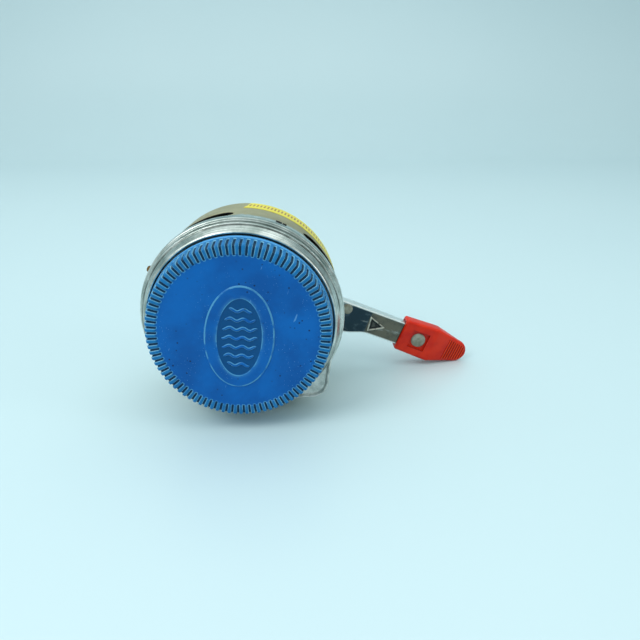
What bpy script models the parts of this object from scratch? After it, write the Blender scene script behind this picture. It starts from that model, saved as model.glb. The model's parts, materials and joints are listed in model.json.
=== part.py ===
"""Spring-wound automatic fly reel: an assembly of separate parts on one main axis.

The main axis is Y: the winding cap faces -Y and the reel foot faces +Y. The trigger
points to +X and a little down. The origin is the middle of the foot's flat face.
Sizes below are millimetres. "Stations" are distances behind the cap's face.
"""
import math

import bmesh
import bpy
from mathutils import Matrix, Vector

MM = 0.001

# Clearances
REST_GAP = 0.3            # between pieces that touch or are fastened together
RUN_GAP = 0.05            # radial, between a shaft and what turns on it
TURN_GAP = 0.6            # beside a turning piece

# Winding cap
CAP_RADIUS = 36.8         # at the front corner
CAP_TAPER = 0.65          # how much wider the open end is
CAP_DEPTH = 10.0
CAP_WALL = 2.0
CAP_BOSS_RADIUS = 8.0
CAP_CORNER = 0.9

# Front housing
LIP_GAP = 0.55            # radial, around the cap's open end
LIP_WIDTH = 1.3
BEAD_STEP = 3.5           # from the lip out to the bead
BAND_STEP = 1.5           # from the bead out to the band
HOUSING_WALL = 1.2
HOUSING_DEPTH = 12.8      # lip to the band's rear edge
FLOOR_THICKNESS = 1.5
LOBE_ANGLE = -46.7
LOBE_INSET = 1.8          # middle of the lobe's round corner, inside the band
LOBE_CORNER = 8.0
LOBE_THICKNESS = 2.2

# Spool housing
DRUM_LENGTH = 34.2
DRUM_STEP = 0.4           # from the band in to the drum
DRUM_TAPER = 1.4          # how much smaller its rear end is
DRUM_WALL = 0.9
WINDOW_WIDTH = 8.0        # along the main axis
WINDOW_SWEEP = 79.0       # degrees
WINDOW_COUNT = 3
LAND_ANGLE = 73.0         # middle of the land between two windows
BACK_THICKNESS = 1.7
RIM_LIP = 1.6             # how far the rolled edge covers the back plate

# Main spring and ratchet
SHAFT_RADIUS = 3.0
ARBOR_RADIUS = 7.5
COLLAR_RADIUS = 11.4
SPRING_TURNS = 4
SPRING_STRIP = 0.6
SPRING_WIDTH = 4.4
RATCHET_TEETH = 36
RATCHET_DEPTH = 1.5
RATCHET_RIM = 2.6
RATCHET_THICKNESS = 1.5
PAWL_LENGTH = 9.0
PAWL_ANGLE = 100.0

# Gear train: a ring gear turns three idlers on fixed posts, and they turn the spool
MODULE = 0.8
RING_TEETH = 54
IDLER_TEETH = 18
PINION_TEETH = 18
IDLER_COUNT = 3
GEAR_WIDTH = 3.0
RING_RIM = 1.9
POST_RADIUS = 1.8
PLATE_THICKNESS = 1.2
PILLAR_RADIUS = 2.2
PILLAR_INSET = 8.5        # from the gear plate's edge
SLEEVE_RADIUS = 5.2

# Line spool
SPOOL_GAP = 1.8           # radial, between its flanges and the drum
SHOE_TRACK = 2.0          # middle of the brake shoe to the hub's outside
HUB_WALL = 2.5
HUB_FLOOR = 1.2
HUB_CORE_WALL = 2.0
FLANGE_THICKNESS = 1.2

# Trigger, in its own frame: u runs outwards along the lever, v across it
TRIGGER_ANGLE = -21.7     # of the lever below +X
LEVER_OFFSET = 3.1        # the lever's middle line from the main axis
LEVER_WIDTH = 12.5
LEVER_SHEET = 1.0
LEVER_FLANGE = 4.9
LEVER_TAIL = 6.5          # from the pivot inwards
LEVER_END = 96.0
GUSSET_DROP = 3.4
GUSSET_START = 42.0
GUSSET_LENGTH = 22.0
PIVOT_INSET = 7.0         # from the back plate's edge
PIN_RADIUS = 1.0
COIL_WIRE = 0.25
EAR_THICKNESS = 1.0
TOE_ARM = 5.0             # pivot to the brake plunger
EAR_GAP = 0.35            # beside the lever
ROOT_RIVET_PLACE = 49.0
ROOT_RIVET_RISE = 2.9     # above the lever's middle line
PAD_START = 80.0
PAD_LENGTH = 38.8
PAD_SIDE = 3.05           # how far it stands out beside the lever
PAD_DEPTH = 7.8
PAD_BEND = 18.5           # start of the sloping nose, from the pad's inner end
PAD_TIP = 5.8             # round of the nose
PAD_RIVET_PLACE = 10.1    # from the pad's inner end
WINDOW_SIDE = 9.6
PAD_RIVET_RADIUS = 3.8
PAD_RIVET_SHANK = 1.8
PAD_RIVET_HEIGHT = 1.1
ROOT_RIVET_RADIUS = 2.4
ROOT_RIVET_SHANK = 1.2
ROOT_RIVET_HEIGHT = 0.9

# Brake
ARM_THICKNESS = 2.4
ARM_WIDTH = 5.0
BRAKE_ARM_REACH = 5.0     # brake pin to the plunger, and to the shoe
BRAKE_PIN_RADIUS = 0.8
PLUNGER_RADIUS = 1.3
SHOE_RADIUS = 2.5
SHOE_THICKNESS = 2.2

# Release button
BUTTON_ANGLE = 158.0
BUTTON_RADIUS = 1.5
BUTTON_STAND = 3.3
BUTTON_HEAD = 2.4

# Reel foot
FOOT_LENGTH = 62.0
FOOT_WIDTH = 13.0
FOOT_THICKNESS = 3.0
FOOT_TIP_THICKNESS = 1.2
FOOT_HEIGHT = 10.7        # back plate to the flat face
FOOT_SCREW_PLACE = 7.5
SCREW_RADIUS = 1.5
SCREW_HEAD_RADIUS = 2.6

# Stations along the main axis
LIP_FRONT = CAP_DEPTH - 0.5
FLOOR_FRONT = CAP_DEPTH + 2.3
FLOOR_REAR = FLOOR_FRONT + FLOOR_THICKNESS
BAND_REAR = LIP_FRONT + HOUSING_DEPTH
DRUM_FRONT = BAND_REAR + REST_GAP
DRUM_REAR = DRUM_FRONT + DRUM_LENGTH
RIM_FRONT = DRUM_REAR - 0.7
BACK_REAR = RIM_FRONT - REST_GAP
BACK_FRONT = BACK_REAR - BACK_THICKNESS
DEPTH = BACK_REAR + REST_GAP + FOOT_HEIGHT
CLIP_FRONT = CAP_WALL + 0.5
CLIP_THICKNESS = 0.8
BUSH_FRONT = CLIP_FRONT + CLIP_THICKNESS + REST_GAP
SHAFT_FRONT = CLIP_FRONT
SHAFT_REAR = BACK_REAR - REST_GAP
ARBOR_FRONT = BUSH_FRONT + 3.0
COLLAR_THICKNESS = 1.3
RATCHET_FRONT = CAP_DEPTH - 0.2 - RATCHET_THICKNESS
SPRING_FRONT = RATCHET_FRONT - REST_GAP - SPRING_WIDTH
GEAR_DISC_FRONT = FLOOR_REAR + 0.8
GEAR_DISC_REAR = GEAR_DISC_FRONT + 1.3
GEAR_FRONT = GEAR_DISC_REAR + TURN_GAP
GEAR_REAR = GEAR_FRONT + GEAR_WIDTH
RING_REAR = GEAR_REAR + 0.4
PLATE_FRONT = RING_REAR + TURN_GAP
PLATE_REAR = PLATE_FRONT + PLATE_THICKNESS
SPOOL_FRONT = max(PLATE_REAR, BAND_REAR) + 2.6
SPOOL_REAR = BACK_FRONT - 8.1
WINDOW_FRONT = DRUM_FRONT + 0.9
BUTTON_STATION = WINDOW_FRONT + WINDOW_WIDTH + REST_GAP + BUTTON_HEAD
LEVER_FRONT = DRUM_REAR + 1.0
PIVOT_STATION = LEVER_FRONT + LEVER_SHEET + PIN_RADIUS + 3 * COIL_WIRE + REST_GAP
PAD_FRONT = LEVER_FRONT - 1.5
ARM_FRONT = SPOOL_REAR + 2 * REST_GAP + SHOE_THICKNESS
ARM_REAR = ARM_FRONT + ARM_THICKNESS
BRAKE_PIN_STATION = (ARM_FRONT + ARM_REAR) / 2

# Radii and places that follow from the sizes above
CAP_SKIRT_RADIUS = CAP_RADIUS + CAP_TAPER
CAP_INNER = CAP_RADIUS - CAP_WALL
LIP_INNER = CAP_SKIRT_RADIUS + LIP_GAP
BEAD_RADIUS = LIP_INNER + BEAD_STEP
BAND_RADIUS = BEAD_RADIUS + BAND_STEP
BAND_INNER = BAND_RADIUS - HOUSING_WALL
LOBE_REACH = BAND_RADIUS - LOBE_INSET
DRUM_FRONT_RADIUS = BAND_RADIUS - DRUM_STEP
DRUM_REAR_RADIUS = DRUM_FRONT_RADIUS - DRUM_TAPER
SPOOL_RADIUS = DRUM_REAR_RADIUS - DRUM_WALL - SPOOL_GAP
RATCHET_TIP = CAP_INNER - REST_GAP - RATCHET_RIM - RATCHET_DEPTH
RATCHET_REACH = RATCHET_TIP - 5.5
RING_PITCH = MODULE * RING_TEETH / 2
IDLER_PITCH = MODULE * IDLER_TEETH / 2
PINION_PITCH = MODULE * PINION_TEETH / 2
IDLER_PLACE = PINION_PITCH + IDLER_PITCH
RING_OUTER = RING_PITCH + MODULE * 1.1 + RING_RIM
PLATE_RADIUS = BAND_INNER - REST_GAP
PILLAR_PLACE = PLATE_RADIUS - PILLAR_INSET
BACK_RADIUS = DRUM_REAR_RADIUS - DRUM_WALL - REST_GAP
PIVOT_PLACE = BACK_RADIUS - PIVOT_INSET
PLUNGER_PLACE = PIVOT_PLACE - TOE_ARM
BRAKE_PIN_PLACE = PLUNGER_PLACE - BRAKE_ARM_REACH
SHOE_PLACE = BRAKE_PIN_PLACE - BRAKE_ARM_REACH
SPOOL_HUB_RADIUS = SHOE_PLACE + SHOE_TRACK
LEVER_START = PIVOT_PLACE - LEVER_TAIL
PAD_WIDTH = LEVER_WIDTH + 2 * PAD_SIDE
EAR_REACH = LEVER_WIDTH / 2 + EAR_GAP + EAR_THICKNESS
RIVET_PLACE = PAD_START + PAD_RIVET_PLACE
SCREW_BORE = SCREW_RADIUS - 0.2

# Tooth form, as shares of the module
ADDENDUM = 0.75
DEDENDUM = 1.05
HALF_TOOTH = 0.69
FLANK = math.tan(math.radians(20))

# Facets round a circle
FINE = 48
MEDIUM = 32
SMALL = 16

MATERIALS = {
    "blue_enamel": ((0.01, 0.15, 0.50), 0.0, 0.38),
    "aluminium": ((0.68, 0.71, 0.71), 1.0, 0.33),
    "khaki_paint": ((0.38, 0.41, 0.27), 0.2, 0.45),
    "steel": ((0.55, 0.56, 0.57), 1.0, 0.30),
    "spring_steel": ((0.22, 0.24, 0.28), 1.0, 0.28),
    "brass": ((0.70, 0.48, 0.20), 1.0, 0.32),
    "chrome": ((0.80, 0.82, 0.82), 1.0, 0.08),
    "red_plastic": ((0.65, 0.03, 0.01), 0.0, 0.42),
    "dull_rivet": ((0.42, 0.40, 0.34), 0.9, 0.50),
    "cork": ((0.42, 0.25, 0.12), 0.0, 0.85),
}


def clear_scene():
    """Remove every object that is already in the scene."""
    for item in list(bpy.data.objects):
        bpy.data.objects.remove(item, do_unlink=True)


def make_material(name):
    """Make one Principled BSDF material from the table."""
    colour, metallic, roughness = MATERIALS[name]
    material = bpy.data.materials.new(name)
    material.use_nodes = True
    shader = material.node_tree.nodes["Principled BSDF"]
    shader.inputs["Base Color"].default_value = (*colour, 1.0)
    shader.inputs["Metallic"].default_value = metallic
    shader.inputs["Roughness"].default_value = roughness
    return material


def polar(radius, degrees):
    """Point (x, z) at a radius and an angle from +X towards +Z."""
    angle = math.radians(degrees)
    return (radius * math.cos(angle), radius * math.sin(angle))


def circle(radius, count, centre=(0.0, 0.0), start=0.0):
    """Closed loop of (x, z) points round a circle."""
    step = 360.0 / count
    points = [polar(radius, start + step * i) for i in range(count)]
    return [(x + centre[0], z + centre[1]) for x, z in points]


def arc(radius, start, end, count, centre=(0.0, 0.0)):
    """Points (x, z) along part of a circle, both ends included."""
    points = [polar(radius, start + (end - start) * i / count) for i in range(count + 1)]
    return [(x + centre[0], z + centre[1]) for x, z in points]


def rectangle(x0, x1, z0, z1):
    """Closed loop of a rectangle's corners."""
    return [(x0, z0), (x1, z0), (x1, z1), (x0, z1)]


def slab(loops, front, rear):
    """Flat piece: an outline and its holes, filled and extruded along Y."""
    shape = bmesh.new()
    edges = []
    for loop in loops:
        ring = [shape.verts.new((x, front, z)) for x, z in loop]
        edges += [shape.edges.new((ring[i - 1], ring[i])) for i in range(len(ring))]
    bmesh.ops.triangle_fill(shape, use_beauty=True, edges=edges, normal=(0.0, -1.0, 0.0))
    grown = bmesh.ops.extrude_face_region(shape, geom=list(shape.faces))
    far_side = [item for item in grown["geom"] if isinstance(item, bmesh.types.BMVert)]
    bmesh.ops.translate(shape, verts=far_side, vec=(0.0, rear - front, 0.0))
    bmesh.ops.recalc_face_normals(shape, faces=list(shape.faces))
    return shape


def turned(profile, count):
    """Turned piece: a closed outline of (radius, station) points spun round Y."""
    shape = bmesh.new()
    points = [shape.verts.new((radius, station, 0.0)) for radius, station in profile]
    edges = [shape.edges.new((points[i - 1], points[i])) for i in range(len(points))]
    on_axis = [edge for edge in edges if all(abs(v.co.x) < 1e-7 for v in edge.verts)]
    edges = [edge for edge in edges if edge not in on_axis]
    bmesh.ops.delete(shape, geom=on_axis, context="EDGES_FACES")
    bmesh.ops.spin(shape, geom=points + edges, cent=(0, 0, 0), axis=(0, 1, 0),
                   angle=2 * math.pi, steps=count, use_duplicate=False)
    bmesh.ops.remove_doubles(shape, verts=list(shape.verts), dist=1e-4)
    bmesh.ops.recalc_face_normals(shape, faces=list(shape.faces))
    return shape


def rod(radius, front, rear, count=SMALL):
    """Plain round rod along Y."""
    return slab([circle(radius, count)], front, rear)


def tube(outer, inner, front, rear, count=MEDIUM):
    """Plain round tube along Y."""
    return slab([circle(outer, count), circle(inner, count)], front, rear)


def moved(shape, offset):
    """The same shape moved by an offset in millimetres."""
    bmesh.ops.translate(shape, verts=list(shape.verts), vec=offset)
    return shape


def spun(shape, degrees, axis):
    """The same shape turned round an axis through the origin."""
    turn = Matrix.Rotation(math.radians(degrees), 3, axis)
    bmesh.ops.rotate(shape, verts=list(shape.verts), cent=(0, 0, 0), matrix=turn)
    return shape


def across(shape):
    """A shape made along Y, laid along Z, so that its own Z becomes Y."""
    return spun(shape, -90.0, "X")


def add(name, shape, material, parent=None, offset=(0.0, 0.0, 0.0)):
    """Put a shape into the scene as a named object, its origin on its parent's axis."""
    bmesh.ops.translate(shape, verts=list(shape.verts), vec=offset)
    bmesh.ops.scale(shape, vec=(MM, MM, MM), verts=list(shape.verts))
    mesh = bpy.data.meshes.new(name)
    shape.to_mesh(mesh)
    shape.free()
    mesh.shade_smooth()
    mesh.set_sharp_from_angle(angle=math.radians(35))
    piece = bpy.data.objects.new(name, mesh)
    bpy.context.scene.collection.objects.link(piece)
    if material:
        mesh.materials.append(PAINT[material])
    piece.parent = parent
    return piece


def frame(name, place, degrees=0.0):
    """Empty that marks an axis, turned round Y."""
    empty = bpy.data.objects.new(name, None)
    empty.location = Vector(place) * MM
    empty.rotation_euler = (0.0, math.radians(degrees), 0.0)
    bpy.context.scene.collection.objects.link(empty)
    return empty


def combine(piece, shape, operation, offset=(0.0, 0.0, 0.0)):
    """Add a Boolean modifier to a piece, with a hidden tool of the given shape."""
    count = len(piece.modifiers)
    tool = add(f"{piece.name}_tool_{count}", shape, None, piece.parent, offset)
    tool.hide_render = True
    tool.display_type = "WIRE"
    modifier = piece.modifiers.new(f"{operation.lower()}_{count}", "BOOLEAN")
    modifier.operation = operation
    modifier.object = tool
    return tool


def gear_outline(teeth, outward, phase):
    """Closed loop of a gear's straight-sided teeth; outward is 1, or -1 for a ring gear."""
    pitch = MODULE * teeth / 2
    tip = pitch + outward * ADDENDUM * MODULE
    root = pitch - outward * DEDENDUM * MODULE
    tip_half = math.degrees(MODULE * (HALF_TOOTH - ADDENDUM * FLANK) / tip)
    root_half = math.degrees(MODULE * (HALF_TOOTH + DEDENDUM * FLANK) / root)
    loop = []
    for tooth in range(teeth):
        middle = phase + 360.0 * tooth / teeth
        loop += [polar(root, middle - root_half), polar(tip, middle - tip_half)]
        loop += [polar(tip, middle + tip_half), polar(root, middle + root_half)]
    return loop


def build_cap_group(axis, lift):
    """Winding cap with its bush, clip, main spring and ratchet ring."""
    corner = CAP_CORNER
    profile = [(0.0, 0.0), (CAP_RADIUS - corner, 0.0), (CAP_RADIUS, corner)]
    profile += [(CAP_SKIRT_RADIUS, CAP_DEPTH), (CAP_INNER, CAP_DEPTH), (CAP_INNER, CAP_WALL)]
    profile += [(CAP_BOSS_RADIUS, CAP_WALL), (CAP_BOSS_RADIUS, ARBOR_FRONT - TURN_GAP)]
    bush_outer = CAP_BOSS_RADIUS - 1.7
    profile += [(bush_outer, ARBOR_FRONT - TURN_GAP), (bush_outer, CAP_WALL), (0.0, CAP_WALL)]
    add("winding_cap", turned(profile, FINE), "blue_enamel", axis, lift)
    bush = tube(bush_outer - REST_GAP, SHAFT_RADIUS + RUN_GAP, BUSH_FRONT, ARBOR_FRONT - TURN_GAP)
    add("cap_bush", bush, "brass", axis, lift)
    add("main_spring", spiral_strip(), "spring_steel", axis, lift)
    outer = CAP_INNER - REST_GAP
    teeth = []
    for tooth in range(RATCHET_TEETH):
        start = 360.0 * tooth / RATCHET_TEETH
        tip = outer - RATCHET_RIM - RATCHET_DEPTH
        teeth += [polar(tip, start), polar(outer - RATCHET_RIM, start + 1.0)]
    rim = slab([circle(outer, RATCHET_TEETH), teeth], RATCHET_FRONT, RATCHET_FRONT + RATCHET_THICKNESS)
    add("ratchet_ring", rim, "steel", axis, lift)


def spiral_strip():
    """Flat strip wound into a spiral between the arbor's collar and the cap's wall."""
    steps = 20 * SPRING_TURNS
    inner = COLLAR_RADIUS + REST_GAP
    growth = (CAP_INNER - REST_GAP - SPRING_STRIP - inner) / steps
    turn = 360.0 * SPRING_TURNS / steps
    inside = [polar(inner + growth * i, turn * i) for i in range(steps + 1)]
    outside = [polar(inner + growth * i + SPRING_STRIP, turn * i) for i in range(steps + 1)]
    return slab([inside + outside[::-1]], SPRING_FRONT, SPRING_FRONT + SPRING_WIDTH)


def build_arbor_group(axis, lift):
    """Spring arbor and the ring gear fixed on it."""
    bore = SHAFT_RADIUS + RUN_GAP
    collar_rear = ARBOR_FRONT + COLLAR_THICKNESS
    profile = [(bore, ARBOR_FRONT), (COLLAR_RADIUS, ARBOR_FRONT), (COLLAR_RADIUS, collar_rear)]
    profile += [(ARBOR_RADIUS, collar_rear), (ARBOR_RADIUS, GEAR_DISC_REAR), (bore, GEAR_DISC_REAR)]
    add("spring_arbor", turned(profile, MEDIUM), "steel", axis, lift)
    disc = tube(RING_OUTER - 0.5, ARBOR_RADIUS + REST_GAP, GEAR_DISC_FRONT, GEAR_DISC_REAR)
    gear = add("ring_gear", disc, "brass", axis, lift)
    teeth = gear_outline(RING_TEETH, -1, 90.0)
    rim = slab([circle(RING_OUTER, RING_TEETH), teeth], GEAR_DISC_REAR - 0.5, RING_REAR)
    combine(gear, rim, "UNION", lift)


def build_idlers(lift):
    """Idler gears on their fixed posts."""
    for number in range(1, IDLER_COUNT + 1):
        angle = 90.0 + 360.0 * (number - 1) / IDLER_COUNT
        x, z = polar(IDLER_PLACE, angle)
        axis = frame(f"idler_axis_{number}", (x, 0.0, z))
        phase = angle + 180.0 / IDLER_TEETH
        bore = circle(POST_RADIUS + RUN_GAP, SMALL)
        teeth = slab([gear_outline(IDLER_TEETH, 1, phase), bore], GEAR_FRONT, GEAR_REAR)
        add(f"idler_gear_{number}", teeth, "brass", axis, lift)
        post = rod(POST_RADIUS, GEAR_FRONT - 0.3, PLATE_REAR)
        add(f"idler_post_{number}", post, "steel", axis, lift)


def build_spool_group(axis, lift):
    """Line spool, which is a hub with two flanges, and the pinion that turns it."""
    bore = SHAFT_RADIUS + RUN_GAP
    seat = SLEEVE_RADIUS + REST_GAP
    sleeve_rear = SPOOL_FRONT + 3.3
    hub_inner = SPOOL_HUB_RADIUS - HUB_WALL
    core = seat + HUB_CORE_WALL
    floor = sleeve_rear + REST_GAP + HUB_FLOOR
    profile = [(seat, SPOOL_FRONT), (SPOOL_HUB_RADIUS, SPOOL_FRONT), (SPOOL_HUB_RADIUS, SPOOL_REAR)]
    profile += [(hub_inner, SPOOL_REAR), (hub_inner, floor), (core, floor)]
    profile += [(core, SPOOL_REAR), (bore, SPOOL_REAR)]
    profile += [(bore, sleeve_rear + REST_GAP), (seat, sleeve_rear + REST_GAP)]
    add("spool_hub", turned(profile, FINE), "aluminium", axis, lift)
    for name, front in (("front", SPOOL_FRONT), ("rear", SPOOL_REAR - FLANGE_THICKNESS)):
        disc = tube(SPOOL_RADIUS, SPOOL_HUB_RADIUS + REST_GAP, front, front + FLANGE_THICKNESS, FINE)
        add(f"spool_{name}_flange", disc, "aluminium", axis, lift)
    loops = [gear_outline(PINION_TEETH, 1, 90.0), circle(bore, MEDIUM)]
    pinion = add("spool_pinion", slab(loops, GEAR_FRONT, GEAR_REAR), "steel", axis, lift)
    sleeve = tube(SLEEVE_RADIUS, bore + 0.01, GEAR_REAR - 0.5, sleeve_rear)
    combine(pinion, sleeve, "UNION", lift)


def lobe_outline():
    """Outline of the housing's lobe: a round corner joined to the band."""
    centre = polar(LOBE_REACH, LOBE_ANGLE)
    start = polar(BAND_RADIUS - 1.5, LOBE_ANGLE + 17.0)
    end = polar(BAND_RADIUS - 1.5, LOBE_ANGLE - 17.0)
    corner = arc(LOBE_CORNER, LOBE_ANGLE + 47.0, LOBE_ANGLE - 47.0, 10, centre)
    inside = arc(BAND_RADIUS - HOUSING_WALL / 2, LOBE_ANGLE - 17.0, LOBE_ANGLE + 17.0, 6)
    return [start] + corner + [end] + inside[1:-1]


def build_housing(axis, lift):
    """Front housing with its lobe, and the bush in its floor."""
    lip = LIP_FRONT
    hole = ARBOR_RADIUS + RUN_GAP + 2.4
    profile = [(LIP_INNER, lip + 0.3), (LIP_INNER + 0.4, lip), (LIP_INNER + LIP_WIDTH, lip + 0.4)]
    profile += [(BEAD_RADIUS - 1.0, lip + 4.0), (BEAD_RADIUS, lip + 4.7), (BEAD_RADIUS, lip + 5.6)]
    profile += [(BEAD_RADIUS - 0.4, lip + 6.1), (BAND_RADIUS - 0.5, lip + 6.8)]
    profile += [(BAND_RADIUS, lip + 7.6), (BAND_RADIUS, BAND_REAR), (BAND_INNER, BAND_REAR)]
    profile += [(BAND_INNER, lip + 7.6), (BEAD_RADIUS - 2.2, lip + 6.0), (BEAD_RADIUS - 2.2, FLOOR_REAR)]
    profile += [(hole, FLOOR_REAR), (hole, FLOOR_FRONT), (LIP_INNER, FLOOR_FRONT)]
    housing = add("front_housing", turned(profile, FINE), "aluminium", axis, lift)
    lobe = slab([lobe_outline()], lip + 5.4, lip + 5.4 + LOBE_THICKNESS)
    combine(housing, lobe, "UNION", lift)
    x, z = polar(RATCHET_REACH, PAWL_ANGLE)
    seat = rod(PIN_RADIUS + REST_GAP, FLOOR_FRONT - 1, FLOOR_REAR + 1)
    combine(housing, moved(seat, (x, 0, z)), "DIFFERENCE", lift)
    bush = tube(hole - REST_GAP, ARBOR_RADIUS + RUN_GAP, FLOOR_FRONT - 0.3, FLOOR_REAR + 0.3)
    add("housing_bush", bush, "brass", axis, lift)


def build_pawl(lift):
    """Pawl, its pin and its leaf spring, under the ratchet ring."""
    x, z = polar(RATCHET_REACH, PAWL_ANGLE)
    axis = frame("pawl_axis", (x, 0.0, z), 90.0 - PAWL_ANGLE)
    front = RATCHET_FRONT + 0.1
    rear = RATCHET_FRONT + RATCHET_THICKNESS
    reach = RATCHET_TIP - RATCHET_REACH - REST_GAP
    back = arc(2.4, -30.0, -210.0, 6)
    loop = [(PAWL_LENGTH, reach - 1.6), (PAWL_LENGTH - 0.6, reach - 2.6)] + back
    loop += [(PAWL_LENGTH - 2.4, reach - 1.1)]
    pawl = slab([loop, circle(PIN_RADIUS + RUN_GAP, SMALL)], front, rear)
    add("pawl", pawl, "steel", axis, lift)
    pin = rod(PIN_RADIUS, front - 0.3, FLOOR_REAR)
    add("pawl_pin", pin, "steel", axis, lift)
    leaf = slab([rectangle(-2.4, PAWL_LENGTH - 2.0, -4.6, -4.1)], front, rear)
    post = slab([rectangle(-3.6, -2.4, -5.0, -2.9)], front, FLOOR_FRONT - REST_GAP)
    spring = add("pawl_spring", leaf, "spring_steel", axis, lift)
    combine(spring, moved(post, (0.2, 0, 0)), "UNION", lift)


def build_gear_plate(axis, lift):
    """Gear plate, and the pillars and screws that hold it to the housing."""
    posts = []
    for number in range(IDLER_COUNT):
        place = polar(IDLER_PLACE, 90.0 + 360.0 * number / IDLER_COUNT)
        posts.append(circle(POST_RADIUS + REST_GAP, SMALL, place))
    holes = [circle(SLEEVE_RADIUS + TURN_GAP, MEDIUM)] + posts
    for number in range(1, IDLER_COUNT + 1):
        place = polar(PILLAR_PLACE, 30.0 + 360.0 * number / IDLER_COUNT)
        holes.append(circle(SCREW_BORE, SMALL, place))
        offset = (place[0] + lift[0], lift[1], place[1] + lift[2])
        pillar = tube(PILLAR_RADIUS, SCREW_BORE, FLOOR_REAR + REST_GAP, PLATE_FRONT - REST_GAP, SMALL)
        add(f"plate_pillar_{number}", pillar, "aluminium", axis, offset)
        shank = SCREW_BORE - REST_GAP
        head_front = PLATE_REAR + REST_GAP
        profile = [(0, GEAR_FRONT), (shank, GEAR_FRONT), (shank, head_front)]
        profile += [(SCREW_HEAD_RADIUS - 0.4, head_front), (SCREW_HEAD_RADIUS - 0.6, head_front + 1.0)]
        profile += [(0, head_front + 1.2)]
        add(f"plate_screw_{number}", turned(profile, SMALL), "steel", axis, offset)
    plate = slab([circle(PLATE_RADIUS, FINE)] + holes, PLATE_FRONT, PLATE_REAR)
    add("gear_plate", plate, "steel", axis, lift)


def build_shaft(axis, lift):
    """Fixed centre shaft with the clip that keeps the cap on it."""
    groove = SHAFT_RADIUS - 0.7
    clip_rear = CLIP_FRONT + CLIP_THICKNESS
    profile = [(0, SHAFT_FRONT - 0.3), (SHAFT_RADIUS, SHAFT_FRONT - 0.3), (SHAFT_RADIUS, SHAFT_FRONT)]
    profile += [(groove, SHAFT_FRONT), (groove, clip_rear), (SHAFT_RADIUS, clip_rear)]
    profile += [(SHAFT_RADIUS, SHAFT_REAR), (0, SHAFT_REAR)]
    add("centre_shaft", turned(profile, MEDIUM), "steel", axis, lift)
    clip = arc(SHAFT_RADIUS + 1.4, -145.0, 145.0, 16)
    clip += arc(groove + 0.2, 145.0, -145.0, 16)
    slot = slab([clip], CLIP_FRONT + 0.15, clip_rear - 0.15)
    add("retaining_clip", slot, "spring_steel", axis, lift)


def build_drum(axis, lift):
    """Spool housing: a rolled-edge drum with line windows and the button's hole."""
    wall = DRUM_WALL
    rim_inner = BACK_RADIUS - RIM_LIP
    profile = [(DRUM_FRONT_RADIUS, DRUM_FRONT), (DRUM_REAR_RADIUS, DRUM_REAR - 0.4)]
    profile += [(DRUM_REAR_RADIUS - 0.4, DRUM_REAR), (rim_inner, DRUM_REAR), (rim_inner, RIM_FRONT)]
    profile += [(DRUM_REAR_RADIUS - wall, RIM_FRONT), (DRUM_FRONT_RADIUS - wall, DRUM_FRONT)]
    drum = add("spool_housing", turned(profile, FINE), "khaki_paint", axis, lift)
    land = 360.0 / WINDOW_COUNT - WINDOW_SWEEP
    for number in range(WINDOW_COUNT):
        start = LAND_ANGLE + land / 2 + 360.0 * number / WINDOW_COUNT
        outer = arc(DRUM_FRONT_RADIUS + 3.0, start, start + WINDOW_SWEEP, 14)
        inner = arc(DRUM_FRONT_RADIUS - 5.0, start + WINDOW_SWEEP, start, 14)
        window = slab([outer + inner], WINDOW_FRONT, WINDOW_FRONT + WINDOW_WIDTH)
        combine(drum, window, "DIFFERENCE", lift)
    hole = spun(across(rod(BUTTON_RADIUS + REST_GAP, -6.0, 6.0)), 90.0, "Y")
    hole = spun(moved(hole, (DRUM_FRONT_RADIUS, 0, 0)), -BUTTON_ANGLE, "Y")
    combine(drum, moved(hole, (0, BUTTON_STATION, 0)), "DIFFERENCE", lift)


def build_button(lift):
    """Release button, which slides towards the main axis."""
    x, z = polar(DRUM_FRONT_RADIUS, BUTTON_ANGLE)
    axis = frame("button_axis", (x, 0.0, z), -BUTTON_ANGLE)
    inside = -DRUM_WALL - 0.9
    profile = [(0, inside - 0.7), (BUTTON_HEAD, inside - 0.7), (BUTTON_HEAD, inside)]
    profile += [(BUTTON_RADIUS, inside), (BUTTON_RADIUS, BUTTON_STAND - 0.5)]
    profile += [(BUTTON_RADIUS - 0.5, BUTTON_STAND), (0, BUTTON_STAND)]
    button = spun(turned(profile, SMALL), -90.0, "Z")
    add("release_button", moved(button, (0, BUTTON_STATION, 0)), "brass", axis, lift)


def build_back(side, lift):
    """Back plate with the plunger's hole, in the trigger's frame."""
    holes = [circle(PLUNGER_RADIUS + 0.1, SMALL, (PLUNGER_PLACE, LEVER_OFFSET))]
    holes.append(circle(SHAFT_RADIUS + REST_GAP, MEDIUM))
    for sign in (-1, 1):
        holes.append(circle(SCREW_RADIUS + REST_GAP, SMALL, (sign * FOOT_SCREW_PLACE, 0.0)))
    plate = slab([circle(BACK_RADIUS, FINE)] + holes, BACK_FRONT, BACK_REAR)
    add("back_plate", plate, "khaki_paint", side, lift)


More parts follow.
